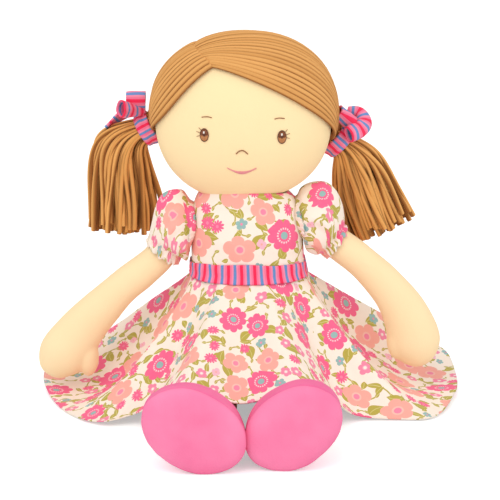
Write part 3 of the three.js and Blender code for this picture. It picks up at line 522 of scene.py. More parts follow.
def stuffed_tube(name, line, steps, width_at, depth_at, round_share, columns):
    """A tube along a line, with a round tip that takes up round_share of its length."""
    start = 1 - round_share
    tip_shares = start + round_share * np.sin(np.linspace(0.05, 1.52, steps[1]))
    shares = np.concatenate([np.linspace(0, start, steps[0]), tip_shares])
    centres, ways, _ = even_curve(line, shares)
    taper = np.sqrt(1 - np.clip((shares - 1 + round_share) / round_share, 0, 1) ** 2)
    grid = bent_rings(centres, ways, width_at(shares) * taper, depth_at(shares) * taper, columns)
    tip = even_curve(line, np.array([1.0]))[0][0]
    return surface(name, grid, skin_material, tips=(centres[0], tip))


def arm_depth(share):
    return arm_width(share) * (1 + (hand_flat - 1) * smooth_step(share))


def thumb_width(share):
    return np.full(len(share), thumb_radius)


for name in sides:
    arm = stuffed_tube(
        f"arm_{name}_mitten", arm_line(name), (56, 18), arm_width, arm_depth, arm_tip_share, arm_columns
    )
    thumb_line = np.array(thumb_lines[name]) * arm_length + shoulders[name]
    thumb = stuffed_tube(
        "thumb", thumb_line, (10, 16), thumb_width, thumb_width, thumb_tip_share, thumb_columns
    )
    changed(arm, "BOOLEAN", operation="UNION", solver="EXACT", object=thumb)
    settle(arm)
    bpy.data.objects.remove(thumb)
    rubbed(arm, arm_cell, arm_rubs)
    pushed(arm, *arm_lumps)
    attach(arm, f"arm_{name}")
    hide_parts(f"arm_{name}")

# Dress bodice
# The bodice is plain-weave cotton with a small flower print, cut close, with a round armhole on each side.
# Its neck edge runs up to the chin, and its lower edge is sewn into the waistband.
torso_height = 158.0
torso_half_width = 46.0
torso_half_depth = 34.0
torso_power = 2.3
torso_rows = np.array([
    (0, 0.78, 0.7, 0), (0.025, 0.91, 0.86, 0), (0.12, 1, 1, 0), (0.28, 1, 1, 0.01),
    (0.47, 0.925, 0.92, 0.005), (0.62, 0.895, 0.875, -0.025), (0.715, 0.885, 0.865, -0.04),
    (0.79, 0.88, 0.865, -0.045), (0.885, 0.86, 0.8, -0.06), (0.94, 0.82, 0.72, -0.065),
    (0.975, 0.74, 0.6, -0.07), (1, 0.58, 0.48, -0.07),
])
dress_ease = 0.4
cloth_thickness = 0.9
cloth_out = dress_ease + cloth_thickness
waist_height = 96.5
shoulder_seam_height = 148.0
neck = (32.6, 24.6, -5.0)
bodice_columns = 168
bodice_rows = 36
collar_rows = 12
bodice_cut = (400, 0)
armhole_radius = 16.4
armhole_flat = 0.84
armhole_least_x = 20
armhole_rim = 1.4
chin_gap = 0.3
bodice_lumps = (26, 0.5, 21)
head_half = np.array([65.0, 42.0, 60.0])
head_power = 2.2
head_centre = np.array([-5.0, 0.0, 212.5])


def torso_at(height):
    """The body's half width, half depth and sideways lean at a height."""
    share = np.clip(height / torso_height, 0, 1)
    width, depth, lean = np.moveaxis(rows_at(share, torso_rows[:, 1:], torso_rows[:, 0]), -1, 0)
    return width * torso_half_width, depth * torso_half_depth, lean * torso_half_width


def oval_reach(angles):
    reach = np.abs(np.cos(angles)) ** torso_power + np.abs(np.sin(angles)) ** torso_power
    return reach ** (-1 / torso_power)


def level_ring(width, depth, lean, height, columns):
    around = ring_angles(columns)
    reach = oval_reach(around)
    x = width * np.cos(around) * reach + lean
    y = depth * np.sin(around) * reach
    z = height(x, y) if callable(height) else np.full(columns, float(height))
    return np.stack([x, y, z], 1)


def head_underside(x, y):
    across = np.abs((x - head_centre[0]) / head_half[0]) ** head_power
    left = 1 - across - np.abs(y / head_half[1]) ** head_power
    return head_centre[2] - head_half[2] * np.clip(left, 0, 1) ** (1 / head_power)


def runs_down(grid):
    """Each column's run from its first row, with the first column again at the end."""
    closed = np.concatenate([grid, grid[:, :1]], 1)
    steps = np.linalg.norm(np.diff(closed, axis=0), axis=2)
    return np.concatenate([np.zeros((1, closed.shape[1])), np.cumsum(steps, 0)])


def cloth_uv(grid, start=(0, 0)):
    """Flat places in millimetres: the way round at the middle row, and the way down each column."""
    middle = grid[len(grid) // 2]
    round_way = run_along(np.concatenate([middle, middle[:1]]))
    return np.stack([np.tile(round_way, (len(grid), 1)) + start[0], runs_down(grid) + start[1]], 2)


def thickened(piece, thickness, offset=-1.0):
    changed(piece, "SOLIDIFY", thickness=thickness * mm, offset=offset)
    return settle(piece)


def vector_step(operation, *values):
    tree = values[0].socket.id_data
    return add_node(tree, "ShaderNodeVectorMath", dict(enumerate(values)), operation=operation)


def print_cells(vector, shift, spacing, loose, slant=1.7):
    """Loose cells of the cloth: their shift and middle, the place in each, and chances of its own."""
    tree = vector.socket.id_data
    moved = add_node(tree, "ShaderNodeCombineXYZ", {"X": shift, "Y": shift * slant})[0]
    place = vector_step("ADD", vector, moved)[0]
    voronoi = {"Vector": place, "Scale": 1.0 / spacing, "Randomness": loose}
    cells = add_node(tree, "ShaderNodeTexVoronoi", voronoi, voronoi_dimensions="2D")
    local = vector_step("SUBTRACT", place, cells["Position"])[0]
    return moved, cells["Position"], local, add_node(tree, "ShaderNodeSeparateColor", {0: cells["Color"]})


def turned_parts(vector, chance):
    """A place in its cell, turned at random, as its X and Y."""
    tree = vector.socket.id_data
    way = {"Vector": vector, "Angle": chance * turn}
    turned = add_node(tree, "ShaderNodeVectorRotate", way, rotation_type="Z_AXIS")[0]
    parts = add_node(tree, "ShaderNodeSeparateXYZ", {0: turned})
    return parts[0], parts[1]


# One kind of printed flower: a rosette at a random turn and size in some cells of the cloth.
# It keeps off the places that a large flower of the same cloth already covers.
flower_titles = (
    "Spacing", "Shift", "Big Reach", "Radius", "Petals", "Notch", "From", "To",
    "Big Spacing", "Big Shift", "Big To",
)
flower_values = dict.fromkeys(flower_titles, 1.0)
flower_group, entry, leave = new_group("printed_flower", flower_values, ["Petals", "Dots", "Heart", "Rim"])
moved, middle, local, chance = print_cells(entry["Vector"], entry["Shift"], entry["Spacing"], 0.55)
middle = vector_step("SUBTRACT", middle, moved)[0]
_, _, big_local, big_chance = print_cells(middle, entry["Big Shift"], entry["Big Spacing"], 0.55)
big_distance = vector_step("LENGTH", big_local)["Value"]
clear = calc("MAXIMUM", big_distance > entry["Big Reach"], big_chance[2] > entry["Big To"])
parts = add_node(flower_group, "ShaderNodeSeparateXYZ", {0: local})
angle = calc("ARCTAN2", parts[1], parts[0]) + chance[0] * turn
distance = vector_step("LENGTH", local)["Value"]
crest = abs(calc("COSINE", angle * entry["Petals"] * 0.5)) ** 0.55
size = entry["Radius"] * (chance[1] * 0.3 + 0.8)
wobble = calc("SINE", angle * 2.0 + chance[1] * 40.0) * 0.1
edge = size * (1.0 - entry["Notch"] * (1.0 - crest) + wobble)
kept = (chance[2] > entry["From"]) * (chance[2] < entry["To"]) * clear
share = distance / size
beads = calc("COSINE", angle * 17.0) > -0.2
feed(leave, {
    "Petals": kept * (distance < edge),
    "Dots": kept * beads * (abs(share - 0.4) < 0.055),
    "Heart": kept * (share < 0.22),
    "Rim": kept * (share < 0.34) * (share > 0.22),
})

# Printed single leaves: fat leaf shapes with a pale middle vein, each at a random turn
leaf_titles = ("Spacing", "Length", "Fullness", "Share", "Shift")
leaf_group, entry, leave = new_group("printed_leaf", dict.fromkeys(leaf_titles, 1.0), ["Leaf", "Vein"])
_, _, local, chance = print_cells(entry["Vector"], entry["Shift"], entry["Spacing"], 0.8)
x, y = turned_parts(local, chance[0])
half_length = entry["Length"] * (chance[1] * 0.25 + 0.35)
along = x / half_length
off = abs(y - along * along * (half_length * 0.25))
swell = (1.0 - along * along) * (along * 0.35 + 1.0)
kept = chance[2] < entry["Share"]
feed(leave, {
    "Leaf": (off < half_length * entry["Fullness"] * swell) * kept,
    "Vein": (off < 0.00028) * (abs(along) < 0.75) * kept,
})

# Printed sprigs: two pointed leaves on a bent stalk, at a random turn in each cell
sprig_titles = ("Spacing", "Leaf Length", "Leaf Width", "Bend", "Share", "Shift")
sprig_group, entry, leave = new_group("printed_sprig", dict.fromkeys(sprig_titles, 1.0), ["Leaf", "Vein"])
_, _, local, chance = print_cells(entry["Vector"], entry["Shift"], entry["Spacing"], 0.75, 1.3)
x, y = turned_parts(local, chance[0])
off = abs(y - x * x * entry["Bend"])
leaf_share = (abs(x) - entry["Leaf Length"] * 1.05) / (entry["Leaf Length"] * 0.62)
leaf = off < entry["Leaf Width"] * (1.0 - leaf_share * leaf_share)
stalk = (off < 0.00055) * (abs(x) < entry["Leaf Length"])
kept = chance[2] < entry["Share"]
feed(leave, {"Leaf": calc("MAXIMUM", leaf, stalk) * kept, "Vein": (off < 0.0003) * leaf * kept})

# Plain weave: threads over and under each other, in the cloth's own flat places
weave_group, entry, leave = new_group("plain_weave", {"Thread Spacing": 0.0004}, ["Height", "Shade"])
parts = add_node(weave_group, "ShaderNodeSeparateXYZ", {0: entry["Vector"]})
across, along = (calc("SINE", parts[k] * math.pi / entry["Thread Spacing"]) for k in (0, 1))
noise = {"Vector": entry["Vector"], "Scale": 260.0, "Detail": 2.0}
slub = add_node(weave_group, "ShaderNodeTexNoise", noise)[0]
feed(leave, {"Height": across * along * 0.5 + 0.5, "Shade": slub})

dress_ground = "#fff0e0"
hot_pink = "#fb6391"
rose_pink = "#f98aa9"
shell_pink = "#fbbccb"
peach_pink = "#fcae9f"
pale_peach = "#fdc3b5"
bead_pink = "#fdd9da"
olive_green = "#b9ab42"
sprig_vein = "#d9cf8c"
leaf_vein = "#d3c877"
dusty_teal = "#93bdb9"
big_spacing = 0.034
big_shift = 3.19
big_share = 0.9


def woven_material(name, roughness):
    """A cotton's material, with the cloth's flat places and its weave."""
    made, tree, shader = new_material(name, roughness, sheen=0.1)
    place = add_node(tree, "ShaderNodeUVMap", uv_map="UVMap")[0]
    return made, tree, shader, place, use_group(tree, weave_group, {"Vector": place})


def printed_cotton(name):
    made, tree, shader, place, weave = woven_material(name, roughness=0.85)
    sprig, leaf, flower = (sprig_group, sprig_titles), (leaf_group, leaf_titles), (flower_group, flower_titles)
    small, large = (0.0142, 0.53, 0.0155), (big_spacing, big_shift, -1.0)
    big = (big_spacing, big_shift, big_share)
    layers = [
        (sprig, (0.027, 0.0078, 0.0022, 32.0, 0.75, 0.31), {"Leaf": olive_green, "Vein": sprig_vein}),
        (sprig, (0.0125, 0.0033, 0.0014, 60.0, 0.75, 1.13), {"Leaf": olive_green, "Vein": sprig_vein}),
        (leaf, (0.0195, 0.0132, 0.54, 0.62, 0.77), {"Leaf": olive_green, "Vein": leaf_vein}),
        (leaf, (0.015, 0.0068, 0.6, 0.55, 2.71), {"Leaf": olive_green, "Vein": leaf_vein}),
    ]
    for row, ink, rim, heart in (
        ((*small, 0.0036, 4.0, 0.3, 0.0, 0.16), shell_pink, shell_pink, peach_pink),
        ((*small, 0.0042, 5.0, 0.4, 0.16, 0.36), dusty_teal, dusty_teal, rose_pink),
        ((*small, 0.0053, 11.0, 0.55, 0.36, 0.68), hot_pink, hot_pink, rose_pink),
        ((*small, 0.005, 5.0, 0.35, 0.68, 1.0), rose_pink, shell_pink, dress_ground),
        ((*large, 0.0124, 9.0, 0.26, 0.0, 0.46), hot_pink, hot_pink, dusty_teal),
        ((*large, 0.0124, 5.0, 0.3, 0.46, big_share), peach_pink, pale_peach, rose_pink),
    ):
        layers.append((flower, row + big, {"Petals": ink, "Rim": rim, "Heart": heart}))
    layers[-2][2]["Dots"] = bead_pink
    colour = dress_ground
    for (group, titles), row, inks in layers:
        masks = use_group(tree, group, {"Vector": place, **dict(zip(titles, row))})
        for title, ink in inks.items():
            colour = mixed(tree, masks[title], colour, ink)
    colour = mixed(tree, weave["Shade"] * 0.08, colour, "#efd3c4")
    dress_shader(tree, shader, colour, weave["Height"], depth=0.00012, strength=0.6)
    return made


dress_material = printed_cotton("flower_print_cotton")
rows = []
for height in np.linspace(waist_height, shoulder_seam_height, bodice_rows):
    width, depth, lean = torso_at(height)
    rows.append(level_ring(width + cloth_out, depth + cloth_out, lean, height, bodice_columns))
seam = (width + cloth_out, depth + cloth_out, lean)
for share in np.linspace(0.08, 1, collar_rows):
    def to_chin(x, y):
        rise = head_underside(x, y) - chin_gap - shoulder_seam_height
        return shoulder_seam_height + rise * share ** 0.9

    row = [at + (end - at) * share ** 1.15 for at, end in zip(seam, neck)]
    rows.append(level_ring(*row, to_chin, bodice_columns))
bodice_grid = np.array(rows)
uv = cloth_uv(bodice_grid, bodice_cut)
flat_points = bodice_grid.reshape(-1, 3)
flat_points[:, 1] += lumps(flat_points, *bodice_lumps)
for name, side in sides.items():
    spoke = flat_points[:, 1:] - shoulders[name][1:]
    far = np.hypot(spoke[:, 0] / armhole_flat, spoke[:, 1])
    near = (far < armhole_radius) & (far > armhole_radius - armhole_rim)
    near &= side * flat_points[:, 0] > armhole_least_x
    flat_points[near, 1:] += spoke[near] * ((armhole_radius - far[near]) / far[near])[:, None]
bodice = surface("bodice_cotton", bodice_grid, dress_material, uv)


def in_armhole(face):
    x, y, z = face.calc_center_median() / mm
    far = math.hypot(y / armhole_flat, z - shoulders["left" if x < 0 else "right"][2])
    return abs(x) > armhole_least_x and far < armhole_radius - 0.5


edited(bodice.data, lambda shape: bmesh.ops.delete(
    shape, geom=[face for face in shape.faces if in_armhole(face)], context="FACES",
))
thickened(bodice, cloth_thickness)
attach(bodice, "torso")
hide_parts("bodice")

# Puff sleeves
# Each sleeve is a short tube of the same print, gathered into the armhole and drawn in again on elastic.
# Below the elastic the edge stands out in a small frill.
sleeve_length = 35.0
sleeve_columns = 180
sleeve_rows = 70
root_share = 0.13
gather_share = 0.8
gather_row = {"left": 9, "right": 10}
overhang = {"left": (0.6, 0.6), "right": (6.0, 0.8)}
pleat_seeds = {"left": 31, "right": 47}
seam_squeeze = 0.72
seam_table = [
    (15.5, -0.6, 0), (16.0, -0.2, 0), (16.8, 0.6, 0), (17.8, 1.0, 0),
    (18.9, 1.1, 0.4), (19.9, 1.2, 0.8), (20.7, 1.3, 1.0),
]
neck_run = 16
gather_reach = 0.16
puff_middle = 0.4
frill_unevenness = 0.7
sleeve_gap = 1.1
sleeve_thickness = 0.8
sleeve_cut = {"left": (760, 30), "right": (1210, 30)}
sleeve_edges = {
    "left": [
        (46.4, 154.0, 45.4, 111.4, 17.5), (50.0, 158.7, 45.7, 109.0, 19.0), (54.8, 159.6, 46.1, 107.6, 20.6),
        (61.2, 158.0, 46.7, 106.8, 21.6), (66.3, 153.7, 47.2, 106.4, 22.0), (69.7, 146.8, 47.7, 106.3, 21.8),
        (71.8, 139.0, 48.3, 106.6, 20.8), (73.4, 132.6, 49.0, 107.4, 18.8), (74.8, 127.6, 49.9, 108.6, 16.4),
        (75.8, 123.4, 51.2, 109.8, 14.0), (77.4, 121.0, 52.8, 106.4, 15.0), (77.2, 118.4, 55.0, 102.4, 15.2),
    ],
    "right": [
        (35.6, 156.0, 41.6, 114.6, 17.5), (37.8, 160.4, 42.4, 113.2, 19.0), (43.1, 163.7, 43.3, 112.4, 20.6),
        (50.2, 165.2, 44.2, 111.9, 21.6), (57.0, 164.6, 45.2, 111.6, 22.0), (62.4, 160.8, 46.2, 111.3, 21.8),
        (66.3, 154.5, 47.2, 111.0, 21.4), (68.8, 147.8, 48.2, 110.7, 20.6), (69.8, 141.6, 49.3, 110.5, 18.8),
        (70.2, 136.6, 50.6, 110.6, 16.2), (70.2, 132.4, 52.2, 111.2, 14.0), (72.4, 131.4, 54.2, 109.4, 15.0),
        (72.6, 129.0, 57.0, 107.2, 15.2),
    ],
}


def bodice_reach(side, y, z):
    """How far out the bodice's cloth is at a place beside the body."""
    width, depth, lean = torso_at(np.minimum(z, shoulder_seam_height))
    up = np.clip((z - shoulder_seam_height) / neck_run, 0, 1)
    width = width + (neck[0] - cloth_out - width) * up
    depth = depth + (neck[1] - cloth_out - depth) * up
    lean = lean + (neck[2] - lean) * up
    inside = np.clip(1 - np.abs(y / (depth + cloth_out)) ** torso_power, 0, 1)
    return (width + cloth_out) * inside ** (1 / torso_power) + side * lean


for name, side in sides.items():
    shoulder = shoulders[name]
    edges = np.array(sleeve_edges[name])
    share = np.linspace(0, 1, sleeve_rows)
    outer_x, outer_z, inner_x, inner_z, half_depth = curve_at(edges, share).T
    gather_place = gather_row[name] / (len(edges) - 1)
    shares = np.interp(share, [0, gather_place, 1], [root_share, gather_share, 1])
    centres = np.stack([side * (outer_x + inner_x) / 2, -1.4 * shares, (outer_z + inner_z) / 2], 1)
    half_height = np.hypot(outer_x - inner_x, outer_z - inner_z) / 2
    ways = np.stack([side * (outer_z - inner_z), 0 * share, inner_x - outer_x], 1)
    ways /= (2 * half_height)[:, None]
    around = ring_angles(sleeve_columns)
    chance = np.random.default_rng(pleat_seeds[name])
    pleats = np.zeros((len(shares), sleeve_columns))
    near_gather = np.exp(-((shares - gather_share) / gather_reach) ** 2)
    frill = np.clip((shares - gather_share) / (1 - gather_share), 0, 1)
    middle_puff = np.clip(1 - np.abs(shares - puff_middle) / puff_middle, 0, 1)
    for waves, where, sway, swayed in (
        (((27, 0.35), (22, 0.4), (16, 0.35)), near_gather, 0, shares),
        (((13, 0.5), (17, 0.5), (23, 0.35)), frill ** 0.7, 1.5, frill),
        (((7, 0.9), (10, 0.7), (15, 0.4)), middle_puff, 3, shares),
    ):
        for count, level in waves:
            drift = chance.uniform(-sway, sway) * swayed[:, None] if sway else 0
            pleats += level * np.sin(count * around + chance.uniform(0, turn) + drift) * where[:, None]
    grid = bent_rings(centres, ways, half_height, half_depth, sleeve_columns, pleats)
    uneven = np.sin(11 * around + chance.uniform(0, turn))
    uneven += 0.6 * np.sin(19 * around + chance.uniform(0, turn))
    grid += ways[:, None, :] * (frill_unevenness * frill[:, None] ** 2 * uneven)[:, :, None]
    spoke = unit(grid[0, :, 1:] - shoulder[1:])
    over_top, over_low = overhang[name]
    plane = side * shoulder[0] - (over_low + (over_top - over_low) * smooth_step((spoke[:, 1] + 0.3) / 1.1))
    seam_pleat = 0.35 * np.sin(34 * around + 1.0) + 0.25 * np.sin(27 * around)
    squeeze = 1 - seam_squeeze * np.clip(spoke[:, 1], 0, 1) ** 2
    seam_rows = []
    for k, (radius, rise_out, plane_share) in enumerate(seam_table):
        start = seam_table[0][0]
        reach = start + (radius + seam_pleat * (1 if plane_share else 0.3) - start) * squeeze
        round_off = [armhole_flat + (1 - armhole_flat) * k / len(seam_table), 1]
        y, z = (shoulder[1:] + spoke * reach[:, None] * round_off).T
        x = bodice_reach(side, y, z) + rise_out
        x = np.maximum(x, x + (plane - x) * plane_share)
        seam_rows.append(np.stack([side * x, y, z], 1))
    beside = grid[:, :, 2] < shoulder_seam_height + 10
    held = np.maximum(side * grid[:, :, 0], bodice_reach(side, grid[:, :, 1], grid[:, :, 2]) + sleeve_gap)
    grid[:, :, 0] = np.where(beside, side * held, grid[:, :, 0])
    grid = np.concatenate([np.array(seam_rows), grid])
    uv = cloth_uv(grid, sleeve_cut[name])
    sleeve = thickened(surface(f"sleeve_{name}_cotton", grid, dress_material, uv), sleeve_thickness)
    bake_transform(sleeve)
    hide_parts(f"sleeve_{name}")

# Waistband
# The waistband is a strip of striped cotton, cut across its stripes, folded and sewn over the waist seam.
# It wrinkles a little where the body bends.
waistband_height = 12.0
waistband_gap = 0.3
waistband_out = 0.2 + 1.0
waistband_thickness = 1.0
waistband_lap = 1.9
waistband_end_drop = 2.6
lap_share = 0.35
waistband_columns = 200
waistband_rows = 16
waistband_cut = (3, 0)
stripe_period = 0.0097
stripe_inks = {
    0.0: "#fb2b56", 0.23: "#fc7c9f", 0.37: "#fd93ae", 0.5: "#6496cf", 0.72: "#fd93ae", 0.86: "#fc7c9f",
}


def striped_cotton(name):
    made, tree, shader, place, weave = woven_material(name, roughness=0.8)
    way = add_node(tree, "ShaderNodeSeparateXYZ", {0: place})[0]
    node = new_node(tree, "ShaderNodeValToRGB", {0: calc("FRACT", way / stripe_period)})
    ramp = node.color_ramp
    ramp.interpolation = "CONSTANT"
    ramp.elements.remove(ramp.elements[1])
    for place_share, ink in stripe_inks.items():
        mark = ramp.elements.new(place_share) if place_share else ramp.elements[0]
        mark.color = linear(ink)
    colour = mixed(tree, weave["Shade"] * 0.12, outputs(node)[0], "#b53a68")
    dress_shader(tree, shader, colour, weave["Height"], depth=0.00014, strength=0.7)
    return made


stripe_material = striped_cotton("striped_cotton")
around = ring_angles(waistband_columns)
rows = []
for share in np.linspace(0, 1, waistband_rows):
    low = 1 - min(1.0, share / lap_share)
    height = waist_height + waistband_gap + waistband_height * share
    width, depth, lean = torso_at(height)
    puff = 0.4 * math.sin(math.pi * share) ** 0.5
    front = (0.6 - 0.4 * np.sin(around)) ** 2
    grow = cloth_out + waistband_out + puff + 1.3 * waistband_lap * low ** 1.5 * front
    ring = level_ring(width + grow, depth + grow, lean, height, waistband_columns)
    ring[:, 2] -= waistband_lap * low * front + waistband_end_drop * share * np.abs(np.cos(around)) ** 4
    ring[:, 2] += (0.45 * np.sin(3 * around + 0.6) + 0.3 * np.sin(7 * around)) * share
    crease = 0.18 * np.sin(23 * around + 2 * share) + 0.15 * np.sin(37 * around - 3 * share)
    crease += 0.25 * np.sin(13 * around + 5 * share)
    ring[:, :2] *= (1 + crease / 45)[:, None]
    rows.append(ring)
grid = np.array(rows)
waistband = surface("waistband_stripe", grid, stripe_material, cloth_uv(grid, waistband_cut))
thickened(waistband, waistband_thickness)
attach(waistband, "torso")
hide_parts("waistband")

# Skirt
# The skirt is cut as a full circle of the flower print, and its top is eased into the waistband.
# It lies over the legs in front, and spreads on the floor at the sides and the back in soft folds.
skirt_reach = 160.0
skirt_columns = 288
skirt_rows = 56
skirt_cut_radius = 44
skirt_seed = 77
lap_height = 43.2
hem_gap = 2.0
floor_clearance = 1.2
broad_folds = 8
broad_fold_height = 3
fold_reach = 0.16
hem_rows = np.array([
    (1, 0.16, 0.12, 2.2), (0.95, 0.46, 0.3, 1.1), (0.68, 0.7, 0.06, 1.3), (0.33, 0.78, 0.1, 1.5),
    (0, 0.74, 0.18, 1.5), (-0.33, 0.78, 0.08, 1.5), (-0.68, 0.68, 0.06, 1.3), (-0.94, 0.45, 0.12, 1.15),
    (-1, 0.16, 0.14, 2.4), (-0.93, -0.13, 0.02, 2.9), (-0.8, -0.37, 0, 1.6), (-0.66, -0.48, 0.06, 1.5),
    (-0.51, -0.47, 0.2, 1.4), (-0.4, -0.63, 0.62, 1.3), (-0.29, -0.755, 1, 1.2), (-0.04, -0.79, 0.76, 1.2),
    (0.22, -0.755, 1, 1.2), (0.36, -0.6, 0.62, 1.3), (0.48, -0.42, 0.1, 1.4), (0.64, -0.4, 0, 1.5),
    (0.83, -0.39, 0.01, 1.5), (0.96, -0.13, 0.1, 2.6),
])
skirt_folds = ((26, 0.55, 0.12), (34, 0.35, 0.1), (19, 0.5, 0.3), (13, 0.7, 0.55), (17, 0.45, 0.75))
places = np.arange(skirt_columns) / skirt_columns
hem_points = hem_rows[:, :3] * [skirt_reach, skirt_reach, lap_height] + [0, 0, hem_gap]
hem = curve_at(hem_points, places, closed=True)
angle = np.arctan2(hem[:, 1], hem[:, 0])
width, depth, lean = torso_at(waist_height)
reach = oval_reach(angle)
waist_x = (width + cloth_out) * np.cos(angle) * reach + lean
waist = np.stack([waist_x, (depth + cloth_out) * np.sin(angle) * reach], 1)
powers = np.interp(places, np.linspace(0, 1, len(hem_rows) + 1), np.append(hem_rows[:, 3], hem_rows[0, 3]))
shares = np.linspace(0, 1, skirt_rows)
flat = waist[None] + (hem[:, :2] - waist)[None] * shares[:, None, None]
drop = 1 - (1 - shares[:, None]) ** powers[None]
rise = -broad_fold_height * np.cos(broad_folds * angle)[None] * np.sin(math.pi * shares)[:, None]
chance = np.random.default_rng(skirt_seed)
for count, level, peak in skirt_folds:
    band = np.exp(-((shares - peak) / fold_reach) ** 2) * np.clip(shares / 0.03, 0, 1)
    drift = chance.uniform(-1.5, 1.5) * shares[:, None]
    rise = rise + level * np.sin(count * angle[None] + chance.uniform(0, turn) + drift) * band[:, None]
skirt_top = waist_height - 0.3
height = skirt_top + (hem[:, 2] - skirt_top)[None] * drop + rise
grid = np.concatenate([flat, np.maximum(height, floor_clearance)[:, :, None]], 2)
heading = np.append(np.unwrap(angle), angle[0] + turn)
cut = skirt_cut_radius + runs_down(grid)
uv = np.stack([cut * np.cos(heading), cut * np.sin(heading)], 2)
skirt = thickened(surface("skirt_cotton", grid, dress_material, uv), cloth_thickness)
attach(skirt, "torso")
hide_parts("skirt")

# Head
# The head is a wide jersey oval, flatter from front to back, stuffed hard and smooth.
# It sits on the body's top, close above the neck edge of the dress.
head_columns = 112
head_rows = 72
head_lumps = (60, 0.25, 3)


def head_points(directions, offset=0.0, lift=0.0):
    """Places in directions from the head's middle, raised off its skin by an offset and a share."""
    directions = np.asarray(directions, float)
    reach = (np.abs(directions) ** head_power).sum(-1) ** (-1 / head_power)
    on_head = directions * reach[..., None]
    slope = unit(np.sign(on_head) * np.abs(on_head) ** (head_power - 1) / head_half)
    points = on_head * head_half * (1 + np.asarray(lift))[..., None]
    return points + slope * np.asarray(offset)[..., None] + head_centre


slopes = np.linspace(-math.pi / 2, math.pi / 2, head_rows + 2)[1:-1, None]
around = ring_angles(head_columns)
level = np.cos(slopes)
directions = np.stack([level * np.cos(around), level * np.sin(around), np.sin(slopes) + 0 * around], 2)
grid = head_points(directions, np.zeros(directions.shape[:2]))
face_material = jersey_material("cream_face_jersey", "#ffe7b4", "#ffdda6")
head_top = np.array([0, 0, head_half[2]])
head = surface("head_jersey", grid, face_material, tips=(head_centre - head_top, head_centre + head_top))
pushed(head, *head_lumps)
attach(head, "head")
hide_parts("head")

# Strands
# Thread, elastic and hair are all round strands along lines, so one tree of nodes makes them.
# Each strand keeps its own tone, and its places along and round it for the knit.
strand_tree = bpy.data.node_groups.new("strand_making", "GeometryNodeTree")
strand_kinds = {"Geometry": "Geometry", "Radius": "Float", "Sides": "Int", "Seed": "Int", "Material": "Material"}
for title, kind in strand_kinds.items():
    strand_tree.interface.new_socket(title, in_out="INPUT", socket_type="NodeSocket" + kind)
strand_tree.interface.new_socket("Geometry", in_out="OUTPUT", socket_type="NodeSocketGeometry")
strand_sockets = {s.name: s.identifier for s in strand_tree.interface.items_tree if s.in_out == "INPUT"}


def strand_step(kind, values={}, **settings):
    return add_node(strand_tree, kind, values, **settings)


def captured(geometry, kind, title, value, **settings):
    """Note a value on the lines, so that it is still known on the mesh that they become."""
    made = new_node(strand_tree, "GeometryNodeCaptureAttribute", **settings)
    made.capture_items.new(kind, title)
    feed(made.inputs, {"Geometry": geometry, title: value})
    return outputs(made)


def stored(geometry, title, value, **settings):
    values = {"Geometry": geometry, "Name": title, "Value": value}
    return strand_step("GeometryNodeStoreNamedAttribute", values, **settings)[0]


entry = strand_step("NodeGroupInput")
lines = strand_step("GeometryNodeMeshToCurve", {"Mesh": entry["Geometry"]})[0]
along = captured(lines, "FLOAT", "Along", strand_step("GeometryNodeSplineParameter")["Length"])
index = strand_step("GeometryNodeInputIndex")[0]
which = captured(along["Geometry"], "INT", "Which", index, domain="CURVE")
circle = {"Resolution": entry["Sides"], "Radius": entry["Radius"]}
ring = strand_step("GeometryNodeCurvePrimitiveCircle", circle)["Curve"]
round_way = captured(ring, "FLOAT", "Round", strand_step("GeometryNodeSplineParameter")["Factor"])
width = strand_step("GeometryNodeInputNamedAttribute", {"Name": "width"}, data_type="FLOAT")["Attribute"]
tubes = strand_step("GeometryNodeCurveToMesh", {
    "Curve": which["Geometry"], "Profile Curve": round_way["Geometry"], "Scale": width, "Fill Caps": True,
})[0]
flat_place = strand_step("ShaderNodeCombineXYZ", {"X": abs(round_way["Round"] - 0.5), "Y": along["Along"]})[0]
draw = {"ID": which["Which"], "Seed": entry["Seed"]}
tone = strand_step("FunctionNodeRandomValue", draw, data_type="FLOAT")[1]
tubes = stored(tubes, "UVMap", flat_place, data_type="FLOAT2", domain="CORNER")
tubes = stored(tubes, "tone", tone, data_type="FLOAT", domain="POINT")
tubes = strand_step("GeometryNodeRealizeInstances", {"Geometry": tubes})[0]
tubes = strand_step("GeometryNodeSetMaterial", {"Geometry": tubes, "Material": entry["Material"]})[0]
feed(strand_tree.nodes.new("NodeGroupOutput").inputs, {"Geometry": tubes})


def add_values(mesh, title, values):
    mesh.attributes.new(title, "FLOAT", "POINT").data.foreach_set("value", values)


def strands(name, lines, radius, sides_round, material, seed=1, widths=None, closed=False, outward=None):
    """Round strands along lines; with outward, the sides that turn away from it are marked for painted shade."""
    points = np.concatenate(lines)
    edges = []
    first = 0
    for line in lines:
        last = first + len(line) - 1
        edges += [(i, i + 1) for i in range(first, last)] + [(last, first)] * closed
        first = last + 1
    mesh = bpy.data.meshes.new(name)
    mesh.from_pydata([tuple(p) for p in points * mm], edges, [])
    add_values(mesh, "width", np.ones(len(points)) if widths is None else np.concatenate(widths))
    piece = placed(name, mesh)
    making = piece.modifiers.new("strands", "NODES")
    making.node_group = strand_tree
    values = {"Radius": radius * mm, "Sides": sides_round, "Seed": seed, "Material": material}
    for title, value in values.items():
        making[strand_sockets[title]] = value
    piece.update_tag()
    settle(piece)
    if outward:
        rings = vectors_of(piece.data.vertices, "co").reshape(-1, sides_round, 3) / mm
        middles = rings.mean(1, keepdims=True)
        ways = rings - middles
        ways /= np.linalg.norm(ways, axis=2, keepdims=True) + 1e-9
        facing = (ways * outward(middles[:, 0])[:, None]).sum(2)
        # Painted shade: a strand's sides that turn away from the outside, down into the gaps between strands,
        # are marked to be drawn darker.
        add_values(piece.data, "deep", smooth_step((0.86 - facing) / 0.42).ravel())
    facing_out(piece.data)
    return piece


